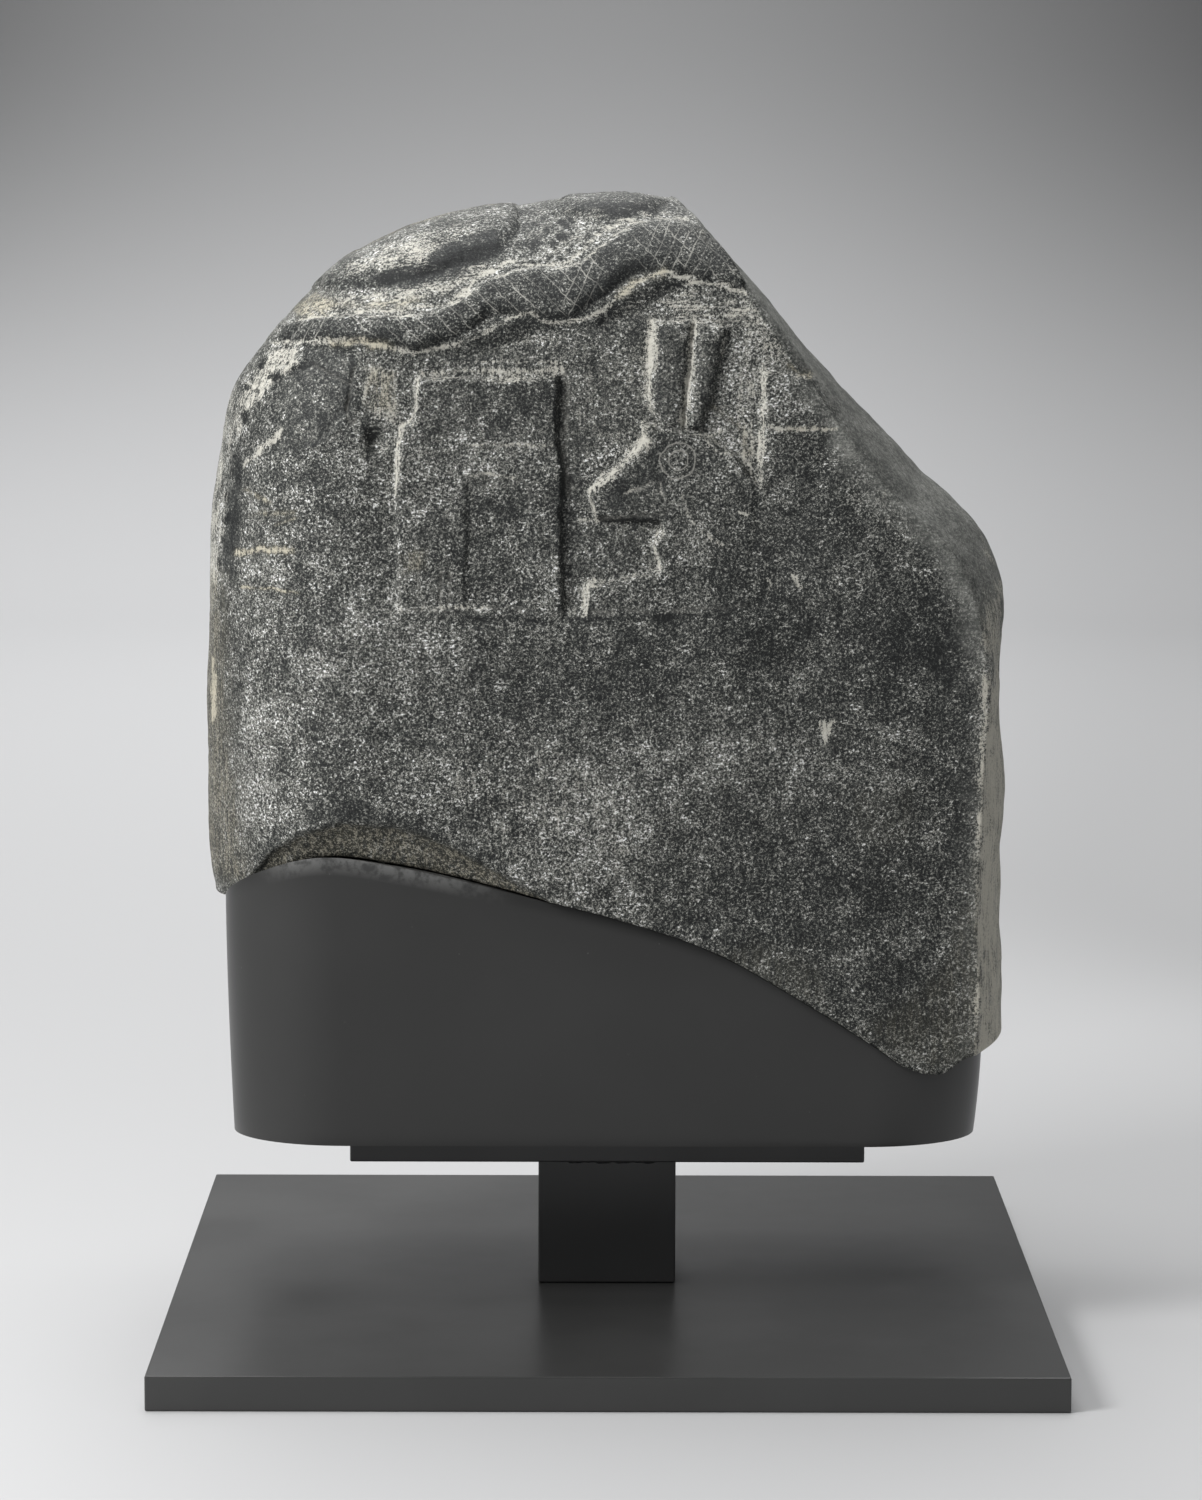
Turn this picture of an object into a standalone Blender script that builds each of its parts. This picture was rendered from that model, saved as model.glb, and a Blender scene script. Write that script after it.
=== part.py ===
# Boundary stone fragment, carved in low relief, on its painted cradle, post and foot plate.
# Metres, +Z up, the carved face towards -Y. The origin is the middle of the foot plate's underside.
import math

import bmesh
import bpy
import numpy as np
from mathutils import Vector, noise

# Foot plate, post and bearing plate
BASE_WIDTH = 0.320
BASE_DEPTH = 0.320
BASE_THICKNESS = 0.0125
POST_SIDE = 0.051
POST_HEIGHT = 0.0476
BEARING_WIDTH = 0.190
BEARING_DEPTH = 0.071
BEARING_THICKNESS = 0.0125
PLATE_EDGE_ROUND = 0.0006

# Stone
STONE_WIDTH = 0.297
STONE_HEIGHT = 0.316
STONE_DEPTH = 0.146
STONE_SIDESTEP = -0.0005
SIDE_ROUND = 0.066
TOP_ROUND = 0.060
# The broken right side is widest this share of the depth behind its front edge, then draws in again
WIDEST_AT = 0.38
BACK_DRAWS_IN = 0.75
FLANK_FULLNESS = 1.6

# Cradle, which follows the stone
CRADLE_LOWEST_HEIGHT = 0.0272
CRADLE_INSET_LEFT = 0.0090
CRADLE_INSET_RIGHT = 0.0105
CRADLE_SETBACK = 0.0035
CRADLE_CORNER_ACROSS = 0.042
CRADLE_CORNER_DEEP = 0.033
CRADLE_TAPER = 0.0024
CRADLE_FOOT_ROUND = 0.0012
ROUNDED_ABOVE_DEGREES = 60

# Clearances
CONTACT_GAP = 0.0003
SEAT_GAP = 0.0008

# Depths of the carving and of the breaks
FIELD_DEPTH = 0.0030
SNAKE_RISE = 0.0030
SHRINE_RISE = 0.0029
NICHE_DEPTH = 0.0014
HEAD_RISE = 0.0030
PLUME_RISE = 0.0032
PLUME_RUN = 0.0055
DOME_LEAF_RISE = 0.0045
DOME_LEAF_RIGHT_RISE = 0.0027
DOME_LEAF_RUN = 0.0110
CARVED_EDGE = 0.0022
# The carving runs over the crest and ends where the surface has turned away from the front
CARVED_WHERE_FACING = (-0.35, 0.20)
# The break cuts the figures off: on it they end this share of the depth behind its front edge
CARVED_OVER_BREAK = 0.05
# Share of the height over which the unevenness fades out towards the seat
SEAT_BAND = 0.04
SPALL_DEPTH = 0.0075
SPALL_RUN = 0.0200
SHOULDER_FLAKE_DEPTH = 0.0020
PIT_DEPTH = 0.0045
PIT_RADIUS = 0.0058
BREAK_DROP_BEHIND = 0.0140
BREAK_DROP_RUN = 0.0470
# Weathering: how wide the hollows and swells are, and how deep
WEATHERING = [(0.075, 0.0018), (0.028, 0.0009)]

# Mesh density
STONE_CELLS_ACROSS = 130
STONE_CELLS_UP = 140
STONE_CELLS_DEEP = 30
STONE_FACE_SHARE = 0.082
BED_CELLS_ACROSS = 48
BED_CELLS_DEEP = 12
CRADLE_SIDES = 64

# Everything that stacks up from the floor
POST_FOOT = BASE_THICKNESS + CONTACT_GAP
BEARING_FOOT = POST_FOOT + POST_HEIGHT + CONTACT_GAP
CRADLE_FOOT = BEARING_FOOT + BEARING_THICKNESS + CONTACT_GAP
STONE_FOOT = CRADLE_FOOT + CRADLE_LOWEST_HEIGHT + SEAT_GAP
STONE_LEFT = STONE_SIDESTEP - STONE_WIDTH / 2
HALF_DEPTH = STONE_DEPTH / 2

# Outlines and carving are given as shares of the stone: percent of its width from the left,
# percent of its height from its lowest point.
PERCENT_ACROSS = STONE_WIDTH / 100
PERCENT_UP = STONE_HEIGHT / 100

LEFT_OUTLINE = [(0.9, 22.3), (0.4, 28.0), (0.2, 37.0), (-0.2, 49.5), (0.4, 59.6), (1.8, 69.7), (3.7, 77.3),
                (7.7, 82.5)]
TOP_OUTLINE = [(7.7, 82.5), (11.9, 87.4), (17.5, 92.0), (24.8, 94.8), (33.3, 96.7), (40.0, 98.0), (46.0, 99.2),
               (51.9, 99.8), (57.8, 99.2)]
# Right-hand break: its front edge, and beside it the widest line of the stone behind that edge
RIGHT_FRONT_EDGE = [(94.8, 2.1), (95.4, 8.0), (94.9, 16.5), (95.5, 33.0), (95.9, 44.0), (94.6, 52.5),
                    (91.0, 59.8), (84.9, 65.6), (78.9, 72.3), (73.3, 80.4), (66.4, 89.1), (60.8, 95.8),
                    (57.8, 99.2)]
RIGHT_WIDEST_LINE = [(99.4, 2.4), (99.4, 9.0), (99.0, 18.0), (99.0, 34.0), (98.1, 44.5), (98.6, 54.5),
                     (95.2, 61.6), (88.0, 67.9), (81.4, 74.4), (74.9, 80.9), (67.2, 89.7), (61.2, 96.1),
                     (57.8, 99.2)]
# Broken underside, read along the cradle's rim
BREAK_LINE = [(0.0, 22.3), (6.2, 23.3), (15.6, 25.0), (24.9, 23.8), (33.2, 22.1), (43.9, 19.6), (50.6, 18.0),
              (63.1, 14.0), (73.9, 8.3), (82.7, 3.1), (86.5, 0.7), (89.5, 0.0), (91.3, 0.3), (93.4, 1.8),
              (100.0, 2.6)]
# The left end drops behind over its whole depth as far as the first share, and not past the second
BREAK_DROP_SHARES = (7.0, 34.0)

# Carving
SNAKE_SPINE = [(7.0, 83.6), (15.0, 84.4), (21.0, 84.6), (28.0, 84.6), (32.0, 86.0), (36.4, 88.4), (41.0, 88.9),
               (45.5, 88.9), (49.0, 91.0), (53.0, 93.4), (58.0, 93.8), (62.0, 93.2), (67.0, 92.4)]
SNAKE_HALF_WIDTH = [(7.0, 1.2), (15.0, 1.3), (28.0, 2.0), (36.0, 2.4), (45.0, 3.2), (58.0, 3.1), (67.0, 3.5)]
DOME_LEAF = [(13.0, 88.7), (21.5, 89.2), (27.4, 90.2), (33.7, 92.2), (38.3, 93.4), (38.8, 97.6), (33.3, 97.6),
             (24.8, 95.6), (17.4, 92.3)]
DOME_LEAF_RIGHT = [(43.0, 97.2), (48.9, 96.6), (55.0, 97.4), (57.5, 98.9), (52.0, 99.9), (45.0, 99.4)]
SHRINE = [(27.2, 79.1), (43.9, 79.1), (43.8, 72.1), (44.4, 70.7), (44.5, 52.0), (24.8, 52.0), (24.6, 66.5),
          (25.1, 73.3), (26.9, 74.3)]
NICHE = [(33.0, 52.0), (40.3, 52.0), (40.5, 65.2), (39.3, 67.7), (36.4, 68.1), (33.1, 67.9)]
ANIMAL_HEAD = [(54.4, 72.4), (47.8, 66.6), (48.5, 63.6), (56.3, 63.0), (56.7, 62.2), (55.4, 60.8), (56.4, 57.6),
               (50.7, 56.3), (47.6, 55.8), (47.1, 52.0), (66.8, 52.0), (67.8, 67.4), (64.9, 70.8), (60.8, 73.0),
               (54.0, 74.2)]
LEFT_PLUME = [(55.2, 85.8), (54.8, 75.9), (56.6, 73.4), (58.8, 73.4), (60.2, 85.8)]
RIGHT_PLUME = [(60.3, 85.7), (58.9, 73.4), (61.2, 73.4), (62.5, 77.6), (64.5, 85.3)]
# The field is cut back round the figures. Its right edge is the symbol that the break cuts off.
SUNK_FIELD = [(24.6, 82.6), (22.6, 74.0), (21.6, 64.0), (23.0, 52.9), (66.0, 53.5), (66.4, 65.0), (68.1, 67.6),
              (68.6, 79.8), (75.4, 79.2), (73.6, 82.0), (66.4, 90.0), (58.0, 90.6), (48.0, 86.5), (41.0, 86.0),
              (33.0, 83.6)]
SHOULDER_FLAKE = [(9.9, 79.0), (13.6, 80.9), (19.6, 82.6), (19.2, 76.0), (15.6, 72.0), (9.2, 70.2)]
SPALL = [(5.5, 20.0), (8.6, 24.4), (12.8, 27.2), (17.8, 28.9), (25.0, 28.6), (31.0, 26.4), (38.5, 22.5),
         (46.0, 18.0), (30.0, 12.0), (8.0, 12.0)]
PIT_CENTRE = (22.4, 72.2)

# Broad flake scars on the flanks and back: the way each scar faces, and how deep a cap it takes off
FLAKE_SCARS = [
    ((0.42, 0.88, -0.20), 0.0110),
    ((-0.30, 0.86, 0.42), 0.0080),
    ((-0.55, 0.80, -0.22), 0.0055),
    ((0.88, 0.46, 0.12), 0.0050),
    ((-0.90, 0.42, 0.10), 0.0035),
    ((0.16, 0.80, 0.58), 0.0070),
    ((0.10, 0.99, -0.05), 0.0016),
]
FLAKE_EDGE = 0.0030


def across(share):
    return STONE_LEFT + share * PERCENT_ACROSS


def up(share):
    return STONE_FOOT + share * PERCENT_UP


def curve_through(points, value):
    """Smooth curve through landmarks: the second coordinate read at a value of the first."""
    x, y = np.array(points, float).T
    chord = np.diff(y) / np.diff(x)
    slope = np.concatenate([chord[:1], (chord[1:] + chord[:-1]) / 2, chord[-1:]])
    value = np.clip(value, x[0], x[-1])
    cell = np.clip(np.searchsorted(x, value, side="right") - 1, 0, len(x) - 2)
    span = x[cell + 1] - x[cell]
    f = (value - x[cell]) / span
    start = (1 + 2 * f) * (1 - f) ** 2 * y[cell] + f * (1 - f) ** 2 * span * slope[cell]
    end = f * f * (3 - 2 * f) * y[cell + 1] - f * f * (1 - f) * span * slope[cell + 1]
    return start + end


def along_outline(points, fraction, stations=None):
    """Places on an outline, as x and z in metres, at fractions of its length."""
    places = np.array([(across(u), up(v)) for u, v in points])
    if stations is None:
        stations = outline_stations(points)
    x = curve_through(list(zip(stations, places[:, 0])), fraction)
    z = curve_through(list(zip(stations, places[:, 1])), fraction)
    return np.stack([x, z], axis=-1)


def outline_stations(points):
    """Fraction of the outline's length at each of its landmarks."""
    places = np.array([(across(u), up(v)) for u, v in points])
    steps = np.hypot(*np.diff(places, axis=0).T)
    return np.concatenate([[0.0], np.cumsum(steps)]) / steps.sum()


def ease(value, low, high):
    """Soft step from 0 at low to 1 at high."""
    f = np.clip((value - low) / (high - low), 0.0, 1.0)
    return f * f * (3 - 2 * f)


def underside(x, y):
    """Height of the stone's broken underside. It lies lower behind, at the left end."""
    share = (x - STONE_LEFT) / PERCENT_ACROSS
    front = up(curve_through(BREAK_LINE, share))
    backwards = ease(y, -HALF_DEPTH, -HALF_DEPTH + BREAK_DROP_RUN)
    return front - BREAK_DROP_BEHIND * backwards * (1 - ease(share, *BREAK_DROP_SHARES))


def distance_inside(outline, x, z):
    """Distance in metres from an outline given in shares, positive inside it."""
    corners = [(across(u), up(v)) for u, v in outline]
    nearest = np.full(x.shape, np.inf)
    inside = np.zeros(x.shape, bool)
    for (ax, az), (bx, bz) in zip(corners, corners[1:] + corners[:1]):
        dx, dz = bx - ax, bz - az
        f = np.clip(((x - ax) * dx + (z - az) * dz) / (dx * dx + dz * dz), 0, 1)
        nearest = np.minimum(nearest, np.hypot(x - ax - f * dx, z - az - f * dz))
        crosses = (az > z) != (bz > z)
        if dz:
            inside ^= crosses & (x < ax + (z - az) / dz * dx)
    return np.where(inside, nearest, -nearest)


def raised(outline, rise, x, z, edge=CARVED_EDGE):
    """A figure left standing with soft edges."""
    return rise * ease(distance_inside(outline, x, z), -edge / 2, edge / 2)


def rounded_raise(outline, rise, x, z, run):
    """A swelling figure whose height grows over a run from its outline."""
    f = np.clip(distance_inside(outline, x, z) / run, 0, 1)
    return rise * np.sqrt(1 - (1 - f) ** 2)


def carving(x, z):
    """Height of the carved face above the stone's first surface, in metres."""
    share = (x - STONE_LEFT) / PERCENT_ACROSS
    field = ease(distance_inside(SUNK_FIELD, x, z), -CARVED_EDGE, CARVED_EDGE)
    figures = raised(SHRINE, SHRINE_RISE, x, z)
    figures -= raised(NICHE, NICHE_DEPTH, x, z)
    figures = np.maximum(figures, raised(ANIMAL_HEAD, HEAD_RISE, x, z))
    figures = np.maximum(figures, rounded_raise(LEFT_PLUME, PLUME_RISE, x, z, PLUME_RUN))
    figures = np.maximum(figures, rounded_raise(RIGHT_PLUME, PLUME_RISE, x, z, PLUME_RUN))
    height = field * (figures - FIELD_DEPTH)
    spine = up(curve_through(SNAKE_SPINE, share))
    half_width = PERCENT_UP * curve_through(SNAKE_HALF_WIDTH, share)
    band = np.clip(np.abs(z - spine) / half_width, 0, 1)
    on_snake = (share > SNAKE_SPINE[0][0]) & (share < SNAKE_SPINE[-1][0]) & (band < 1)
    height = np.where(on_snake, np.maximum(height, SNAKE_RISE * np.sqrt(1 - band ** 3)), height)
    height += rounded_raise(DOME_LEAF, DOME_LEAF_RISE, x, z, DOME_LEAF_RUN)
    height += rounded_raise(DOME_LEAF_RIGHT, DOME_LEAF_RIGHT_RISE, x, z, DOME_LEAF_RUN)
    height -= raised(SHOULDER_FLAKE, SHOULDER_FLAKE_DEPTH, x, z)
    pit = np.hypot(x - across(PIT_CENTRE[0]), z - up(PIT_CENTRE[1]))
    height -= PIT_DEPTH * (1 - ease(pit, 0.0, PIT_RADIUS))
    height -= SPALL_DEPTH * np.sqrt(np.clip(distance_inside(SPALL, x, z) / SPALL_RUN, 0, 1))
    return height


def stone_surface(cells):
    """Places of a unit block's surface points on the stone, before carving. Columns run left to right,
    bottom to top and front to back, each from 0 to 1."""
    s, t, b = cells.T
    side = 2 * b - 1
    corner_turn = math.pi / 2 * HALF_DEPTH / (HALF_DEPTH + SIDE_ROUND)
    turn = corner_turn * side
    depth = np.sin(turn) / math.sin(corner_turn)
    pull = (1 - np.cos(turn)) / (1 - math.cos(corner_turn))

    def rolled(distance, radius):
        """Distance from the outline, and fullness of the depth, once the flank is rolled round."""
        angle = math.pi / 2 * np.clip((HALF_DEPTH + distance) / (HALF_DEPTH + radius), 0, 1)
        shift = np.where(distance < radius, radius * (1 - np.cos(angle)) - distance, 0)
        return distance + shift * pull, np.sin(angle)

    stations = outline_stations(RIGHT_FRONT_EDGE)
    row_width = along_outline(RIGHT_FRONT_EDGE, t, stations)[:, 0] - along_outline(LEFT_OUTLINE, t)[:, 0]
    column_height = along_outline(TOP_OUTLINE, s)[:, 1] - underside(across(100 * s), 0 * s)
    inward, fullness = rolled(s * row_width, SIDE_ROUND)
    downward, top_fullness = rolled((1 - t) * column_height, TOP_ROUND)
    s = inward / row_width
    t = 1 - downward / column_height
    y = HALF_DEPTH * depth * fullness * top_fullness

    behind = np.clip(b / WIDEST_AT, 0, 1)
    widest = (1 - (1 - behind) ** FLANK_FULLNESS - BACK_DRAWS_IN * ease(b, WIDEST_AT, 1.0))[:, None]
    left = along_outline(LEFT_OUTLINE, t)
    top = along_outline(TOP_OUTLINE, s)
    front_edge = along_outline(RIGHT_FRONT_EDGE, t, stations)
    right = front_edge + (along_outline(RIGHT_WIDEST_LINE, t, stations) - front_edge) * widest
    corner_front = np.array([across(RIGHT_FRONT_EDGE[0][0]), up(RIGHT_FRONT_EDGE[0][1])])
    corner_wide = np.array([across(RIGHT_WIDEST_LINE[0][0]), up(RIGHT_WIDEST_LINE[0][1])])
    low_right = corner_front + (corner_wide - corner_front) * widest
    low_left = np.array([across(LEFT_OUTLINE[0][0]), up(LEFT_OUTLINE[0][1])])
    bottom_x = low_left[0] + (low_right[:, 0] - low_left[0]) * s
    bottom = np.stack([bottom_x, underside(bottom_x, HALF_DEPTH * depth * fullness)], axis=-1)
    left_foot = np.stack([left[:, 0] * 0 + low_left[0], underside(low_left[0] + 0 * s, HALF_DEPTH * depth)], axis=-1)
    right_foot = np.stack([low_right[:, 0], underside(low_right[:, 0], HALF_DEPTH * depth)], axis=-1)
    top_left = np.array([across(TOP_OUTLINE[0][0]), up(TOP_OUTLINE[0][1])])
    top_right = np.array([across(TOP_OUTLINE[-1][0]), up(TOP_OUTLINE[-1][1])])
    s, t = s[:, None], t[:, None]
    left = left + (1 - t) ** 3 * (left_foot - low_left)
    right = right + (1 - t) ** 3 * (right_foot - low_right)
    place = (1 - t) * bottom + t * top + (1 - s) * left + s * right
    place -= (1 - s) * (1 - t) * left_foot + s * (1 - t) * right_foot
    place -= (1 - s) * t * top_left + s * t * top_right
    return np.stack([place[:, 0], y, place[:, 1]], axis=-1)


def flaked(places):
    """Cuts the broad scars: what stands past a scar's plane is laid back onto it, with a softened edge."""
    for facing, cap in FLAKE_SCARS:
        facing = np.array(facing) / math.hypot(*facing)
        reach = places @ facing
        past = reach - reach.max() + cap
        places = places - ((past + np.sqrt(past ** 2 + FLAKE_EDGE ** 2)) / 2)[:, None] * facing
    return places


def weathering(places):
    """Slow unevenness of the worn and broken surface, in metres along the normal."""
    height = np.zeros(len(places))
    for size, depth in WEATHERING:
        height += [depth * noise.noise(Vector(place) / size) for place in places]
    return height


def new_object(name, mesh_builder, collection):
    mesh = bpy.data.meshes.new(name)
    mesh_builder.to_mesh(mesh)
    mesh_builder.free()
    made = bpy.data.objects.new(name, mesh)
    collection.objects.link(made)
    return made


def finish(name, colour, roughness, metallic=0.0):
    material = bpy.data.materials.new(name)
    material.use_nodes = True
    shader = material.node_tree.nodes["Principled BSDF"]
    shader.inputs["Base Color"].default_value = (*colour, 1.0)
    shader.inputs["Roughness"].default_value = roughness
    shader.inputs["Metallic"].default_value = metallic
    return material


def block(width, depth, height):
    shape = bmesh.new()
    bmesh.ops.create_cube(shape, size=1.0)
    bmesh.ops.scale(shape, vec=(width, depth, height), verts=shape.verts)
    return shape


def plate(name, width, depth, height, foot, material, collection):
    """A sawn steel block with slightly broken edges, standing at a height."""
    made = new_object(name, block(width, depth, height), collection)
    made.location = (0, 0, foot + height / 2)
    made.data.materials.append(material)
    edges = made.modifiers.new("broken edges", "BEVEL")
    edges.width = PLATE_EDGE_ROUND
    edges.segments = 2
    return made


def divided_block():
    """A unit block cut into even cells: a cube whose edges are subdivided one direction at a time."""
    shape = bmesh.new()
    bmesh.ops.create_cube(shape, size=1.0)
    bmesh.ops.translate(shape, vec=(0.5, 0.5, 0.5), verts=shape.verts)
    for axis, cells in ((0, STONE_CELLS_ACROSS), (2, STONE_CELLS_UP), (1, STONE_CELLS_DEEP)):
        edges = [e for e in shape.edges if abs(e.verts[0].co[axis] - e.verts[1].co[axis]) > 0.5]
        bmesh.ops.subdivide_edges(shape, edges=edges, cuts=cells - 1, use_grid_fill=True)
    return shape


def make_stone(material, collection):
    """The block is drawn out to the stone's form, weathered, then carved on its front."""
    shape = divided_block()
    shape.verts.ensure_lookup_table()
    cells = np.array([(v.co.x, v.co.z, v.co.y) for v in shape.verts])
    places = flaked(stone_surface(cells))
    seated = cells[:, 1] == 0
    places[seated, 2] = underside(places[seated, 0], places[seated, 1])
    for vert, place in zip(shape.verts, places):
        vert.co = place
    bmesh.ops.recalc_face_normals(shape, faces=shape.faces)
    shape.normal_update()
    normals = np.array([v.normal for v in shape.verts])
    above_seat = ease(cells[:, 1], 0.0, SEAT_BAND)
    carved = ease(-normals[:, 1], *CARVED_WHERE_FACING)
    carved[cells[:, 0] == 1] *= 1 - ease(cells[cells[:, 0] == 1, 2], 0.0, CARVED_OVER_BREAK)
    height = (weathering(places) + carved * carving(places[:, 0], places[:, 2])) * above_seat
    for vert, place in zip(shape.verts, places + normals * height[:, None]):
        vert.co = place
    stone = new_object("boundary_stone", shape, collection)
    stone.data.materials.append(material)
    thin = stone.modifiers.new("fewer facets", "DECIMATE")
    thin.ratio = STONE_FACE_SHARE
    return stone


def cradle_outline(turn, half_width, half_depth):
    """Point of a rectangle with elliptical corners, at an even share of its turn."""
    corner = int(turn * 4) % 4
    angle = math.pi / 2 * (turn * 4 - int(turn * 4)) + corner * math.pi / 2
    centre_x = (half_width - CRADLE_CORNER_ACROSS) * (1 if corner in (0, 3) else -1)
    centre_y = (half_depth - CRADLE_CORNER_DEEP) * (1 if corner in (0, 1) else -1)
    return centre_x + CRADLE_CORNER_ACROSS * math.cos(angle), centre_y + CRADLE_CORNER_DEEP * math.sin(angle)


def make_bed(cutters):
    """The space that the stone fills above the cradle: the underside, lowered by the seat gap."""
    shape = bmesh.new()
    bmesh.ops.create_grid(shape, x_segments=BED_CELLS_ACROSS, y_segments=BED_CELLS_DEEP, size=0.5)
    for vert in shape.verts:
        x = STONE_LEFT + (vert.co.x + 0.5) * STONE_WIDTH
        y = vert.co.y * STONE_DEPTH
        vert.co = (x, y, float(underside(np.array([x]), np.array([y]))[0]) - SEAT_GAP)
    top = bmesh.ops.extrude_face_region(shape, geom=shape.faces[:])
    lifted = [item for item in top["geom"] if isinstance(item, bmesh.types.BMVert)]
    for vert in lifted:
        vert.co.z = STONE_FOOT + STONE_HEIGHT
    bmesh.ops.recalc_face_normals(shape, faces=shape.faces)
    bed = new_object("stone_bed", shape, cutters)
    bed.hide_render = True
    bed.display_type = "WIRE"
    return bed


def make_cradle(material, collection, bed):
    """A tapered block with rounded corners whose upper side is cut to the stone's underside."""
    left = STONE_LEFT + CRADLE_INSET_LEFT
    right = STONE_LEFT + STONE_WIDTH - CRADLE_INSET_RIGHT
    half_depth = HALF_DEPTH - CRADLE_SETBACK
    height = up(BREAK_LINE[2][1]) + SEAT_GAP - CRADLE_FOOT
    shape = bmesh.new()
    bmesh.ops.create_cone(shape, cap_ends=True, segments=CRADLE_SIDES, radius1=1, radius2=1, depth=1)
    rim = sorted((v for v in shape.verts if v.co.z > 0), key=lambda v: math.atan2(v.co.y, v.co.x) % math.tau)
    foot = sorted((v for v in shape.verts if v.co.z < 0), key=lambda v: math.atan2(v.co.y, v.co.x) % math.tau)
    for ring, z, inset in ((rim, height, 0.0), (foot, 0.0, CRADLE_TAPER)):
        for number, vert in enumerate(ring):
            turn = (number + 0.5) / CRADLE_SIDES
            x, y = cradle_outline(turn, (right - left) / 2 - inset, half_depth - inset)
            vert.co = (x + (left + right) / 2, y, CRADLE_FOOT + z)
    cradle = new_object("cradle", shape, collection)
    cradle.data.materials.append(material)
    edges = cradle.modifiers.new("rounded foot", "BEVEL")
    edges.width = CRADLE_FOOT_ROUND
    edges.segments = 2
    edges.limit_method = "ANGLE"
    edges.angle_limit = math.radians(ROUNDED_ABOVE_DEGREES)
    cut = cradle.modifiers.new("stone bed", "BOOLEAN")
    cut.operation = "DIFFERENCE"
    cut.object = bed
    return cradle


def build():
    for old in list(bpy.data.objects):
        bpy.data.objects.remove(old, do_unlink=True)
    parts = bpy.data.collections.new("boundary_stone_on_mount")
    cutters = bpy.data.collections.new("cutters")
    bpy.context.scene.collection.children.link(parts)
    bpy.context.scene.collection.children.link(cutters)
    paint = finish("dark grey satin paint", (0.042, 0.042, 0.041), 0.42)
    post_paint = finish("dark grey paint on post", (0.030, 0.030, 0.030), 0.40)
    stone_finish = finish("charcoal stone", (0.062, 0.064, 0.062), 0.72)
    plate("base_plate", BASE_WIDTH, BASE_DEPTH, BASE_THICKNESS, 0.0, paint, parts)
    plate("post", POST_SIDE, POST_SIDE, POST_HEIGHT, POST_FOOT, post_paint, parts)
    plate("bearing_plate", BEARING_WIDTH, BEARING_DEPTH, BEARING_THICKNESS, BEARING_FOOT, paint, parts)
    make_cradle(paint, parts, make_bed(cutters))
    make_stone(stone_finish, parts)


build()
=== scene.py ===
# Boundary stone fragment on its painted mount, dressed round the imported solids.
import itertools
import math

import bpy
import bmesh
import numpy as np
from mathutils import Matrix, Vector, noise


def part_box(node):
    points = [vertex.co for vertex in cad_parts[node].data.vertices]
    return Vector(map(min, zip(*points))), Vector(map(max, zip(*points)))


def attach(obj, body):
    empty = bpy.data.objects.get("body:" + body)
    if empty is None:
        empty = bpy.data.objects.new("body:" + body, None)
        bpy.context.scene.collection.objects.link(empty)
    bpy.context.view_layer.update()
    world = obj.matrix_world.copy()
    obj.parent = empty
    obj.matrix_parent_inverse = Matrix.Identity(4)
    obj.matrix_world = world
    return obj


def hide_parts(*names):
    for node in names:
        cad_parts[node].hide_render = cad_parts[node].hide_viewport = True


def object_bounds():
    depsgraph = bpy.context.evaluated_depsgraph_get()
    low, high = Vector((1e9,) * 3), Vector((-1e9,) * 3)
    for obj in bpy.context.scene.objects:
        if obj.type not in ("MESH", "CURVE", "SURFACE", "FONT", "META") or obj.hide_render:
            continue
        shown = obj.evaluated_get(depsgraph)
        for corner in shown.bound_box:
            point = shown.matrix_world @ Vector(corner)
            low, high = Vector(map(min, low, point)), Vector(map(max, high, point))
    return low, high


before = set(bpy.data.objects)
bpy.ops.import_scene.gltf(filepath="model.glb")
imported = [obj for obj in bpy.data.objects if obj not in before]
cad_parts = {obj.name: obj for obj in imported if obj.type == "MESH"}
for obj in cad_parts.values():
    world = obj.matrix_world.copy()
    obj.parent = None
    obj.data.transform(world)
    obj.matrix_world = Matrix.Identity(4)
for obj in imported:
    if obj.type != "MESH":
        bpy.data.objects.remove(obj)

cad_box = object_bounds()
bpy.ops.object.select_all(action="DESELECT")


# Camera: a long lens straight in front of the object, looking slightly down on it.
# The picture is 1202 x 1500 and its long side takes the 36 mm of the sensor.
CAMERA_PLACE = (-0.0074, -1.765, 0.4409)
CAMERA_DOWN = math.radians(7.463)
CAMERA_RIGHT = math.radians(0.155)
CAMERA_ROLL = math.radians(0.16)
LENS = 114.62
SENSOR = 36.0
camera_data = bpy.data.cameras.new("camera")
camera_data.lens = LENS
camera_data.sensor_width = SENSOR
camera_data.clip_end = 50.0
camera = bpy.data.objects.new("camera", camera_data)
bpy.context.scene.collection.objects.link(camera)
turned = Matrix.Rotation(-CAMERA_RIGHT, 4, "Z") @ Matrix.Rotation(math.pi / 2 - CAMERA_DOWN, 4, "X")
camera.matrix_world = Matrix.Translation(CAMERA_PLACE) @ turned @ Matrix.Rotation(CAMERA_ROLL, 4, "Z")
bpy.context.scene.camera = camera
bpy.context.scene.view_settings.view_transform = "Standard"


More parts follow.
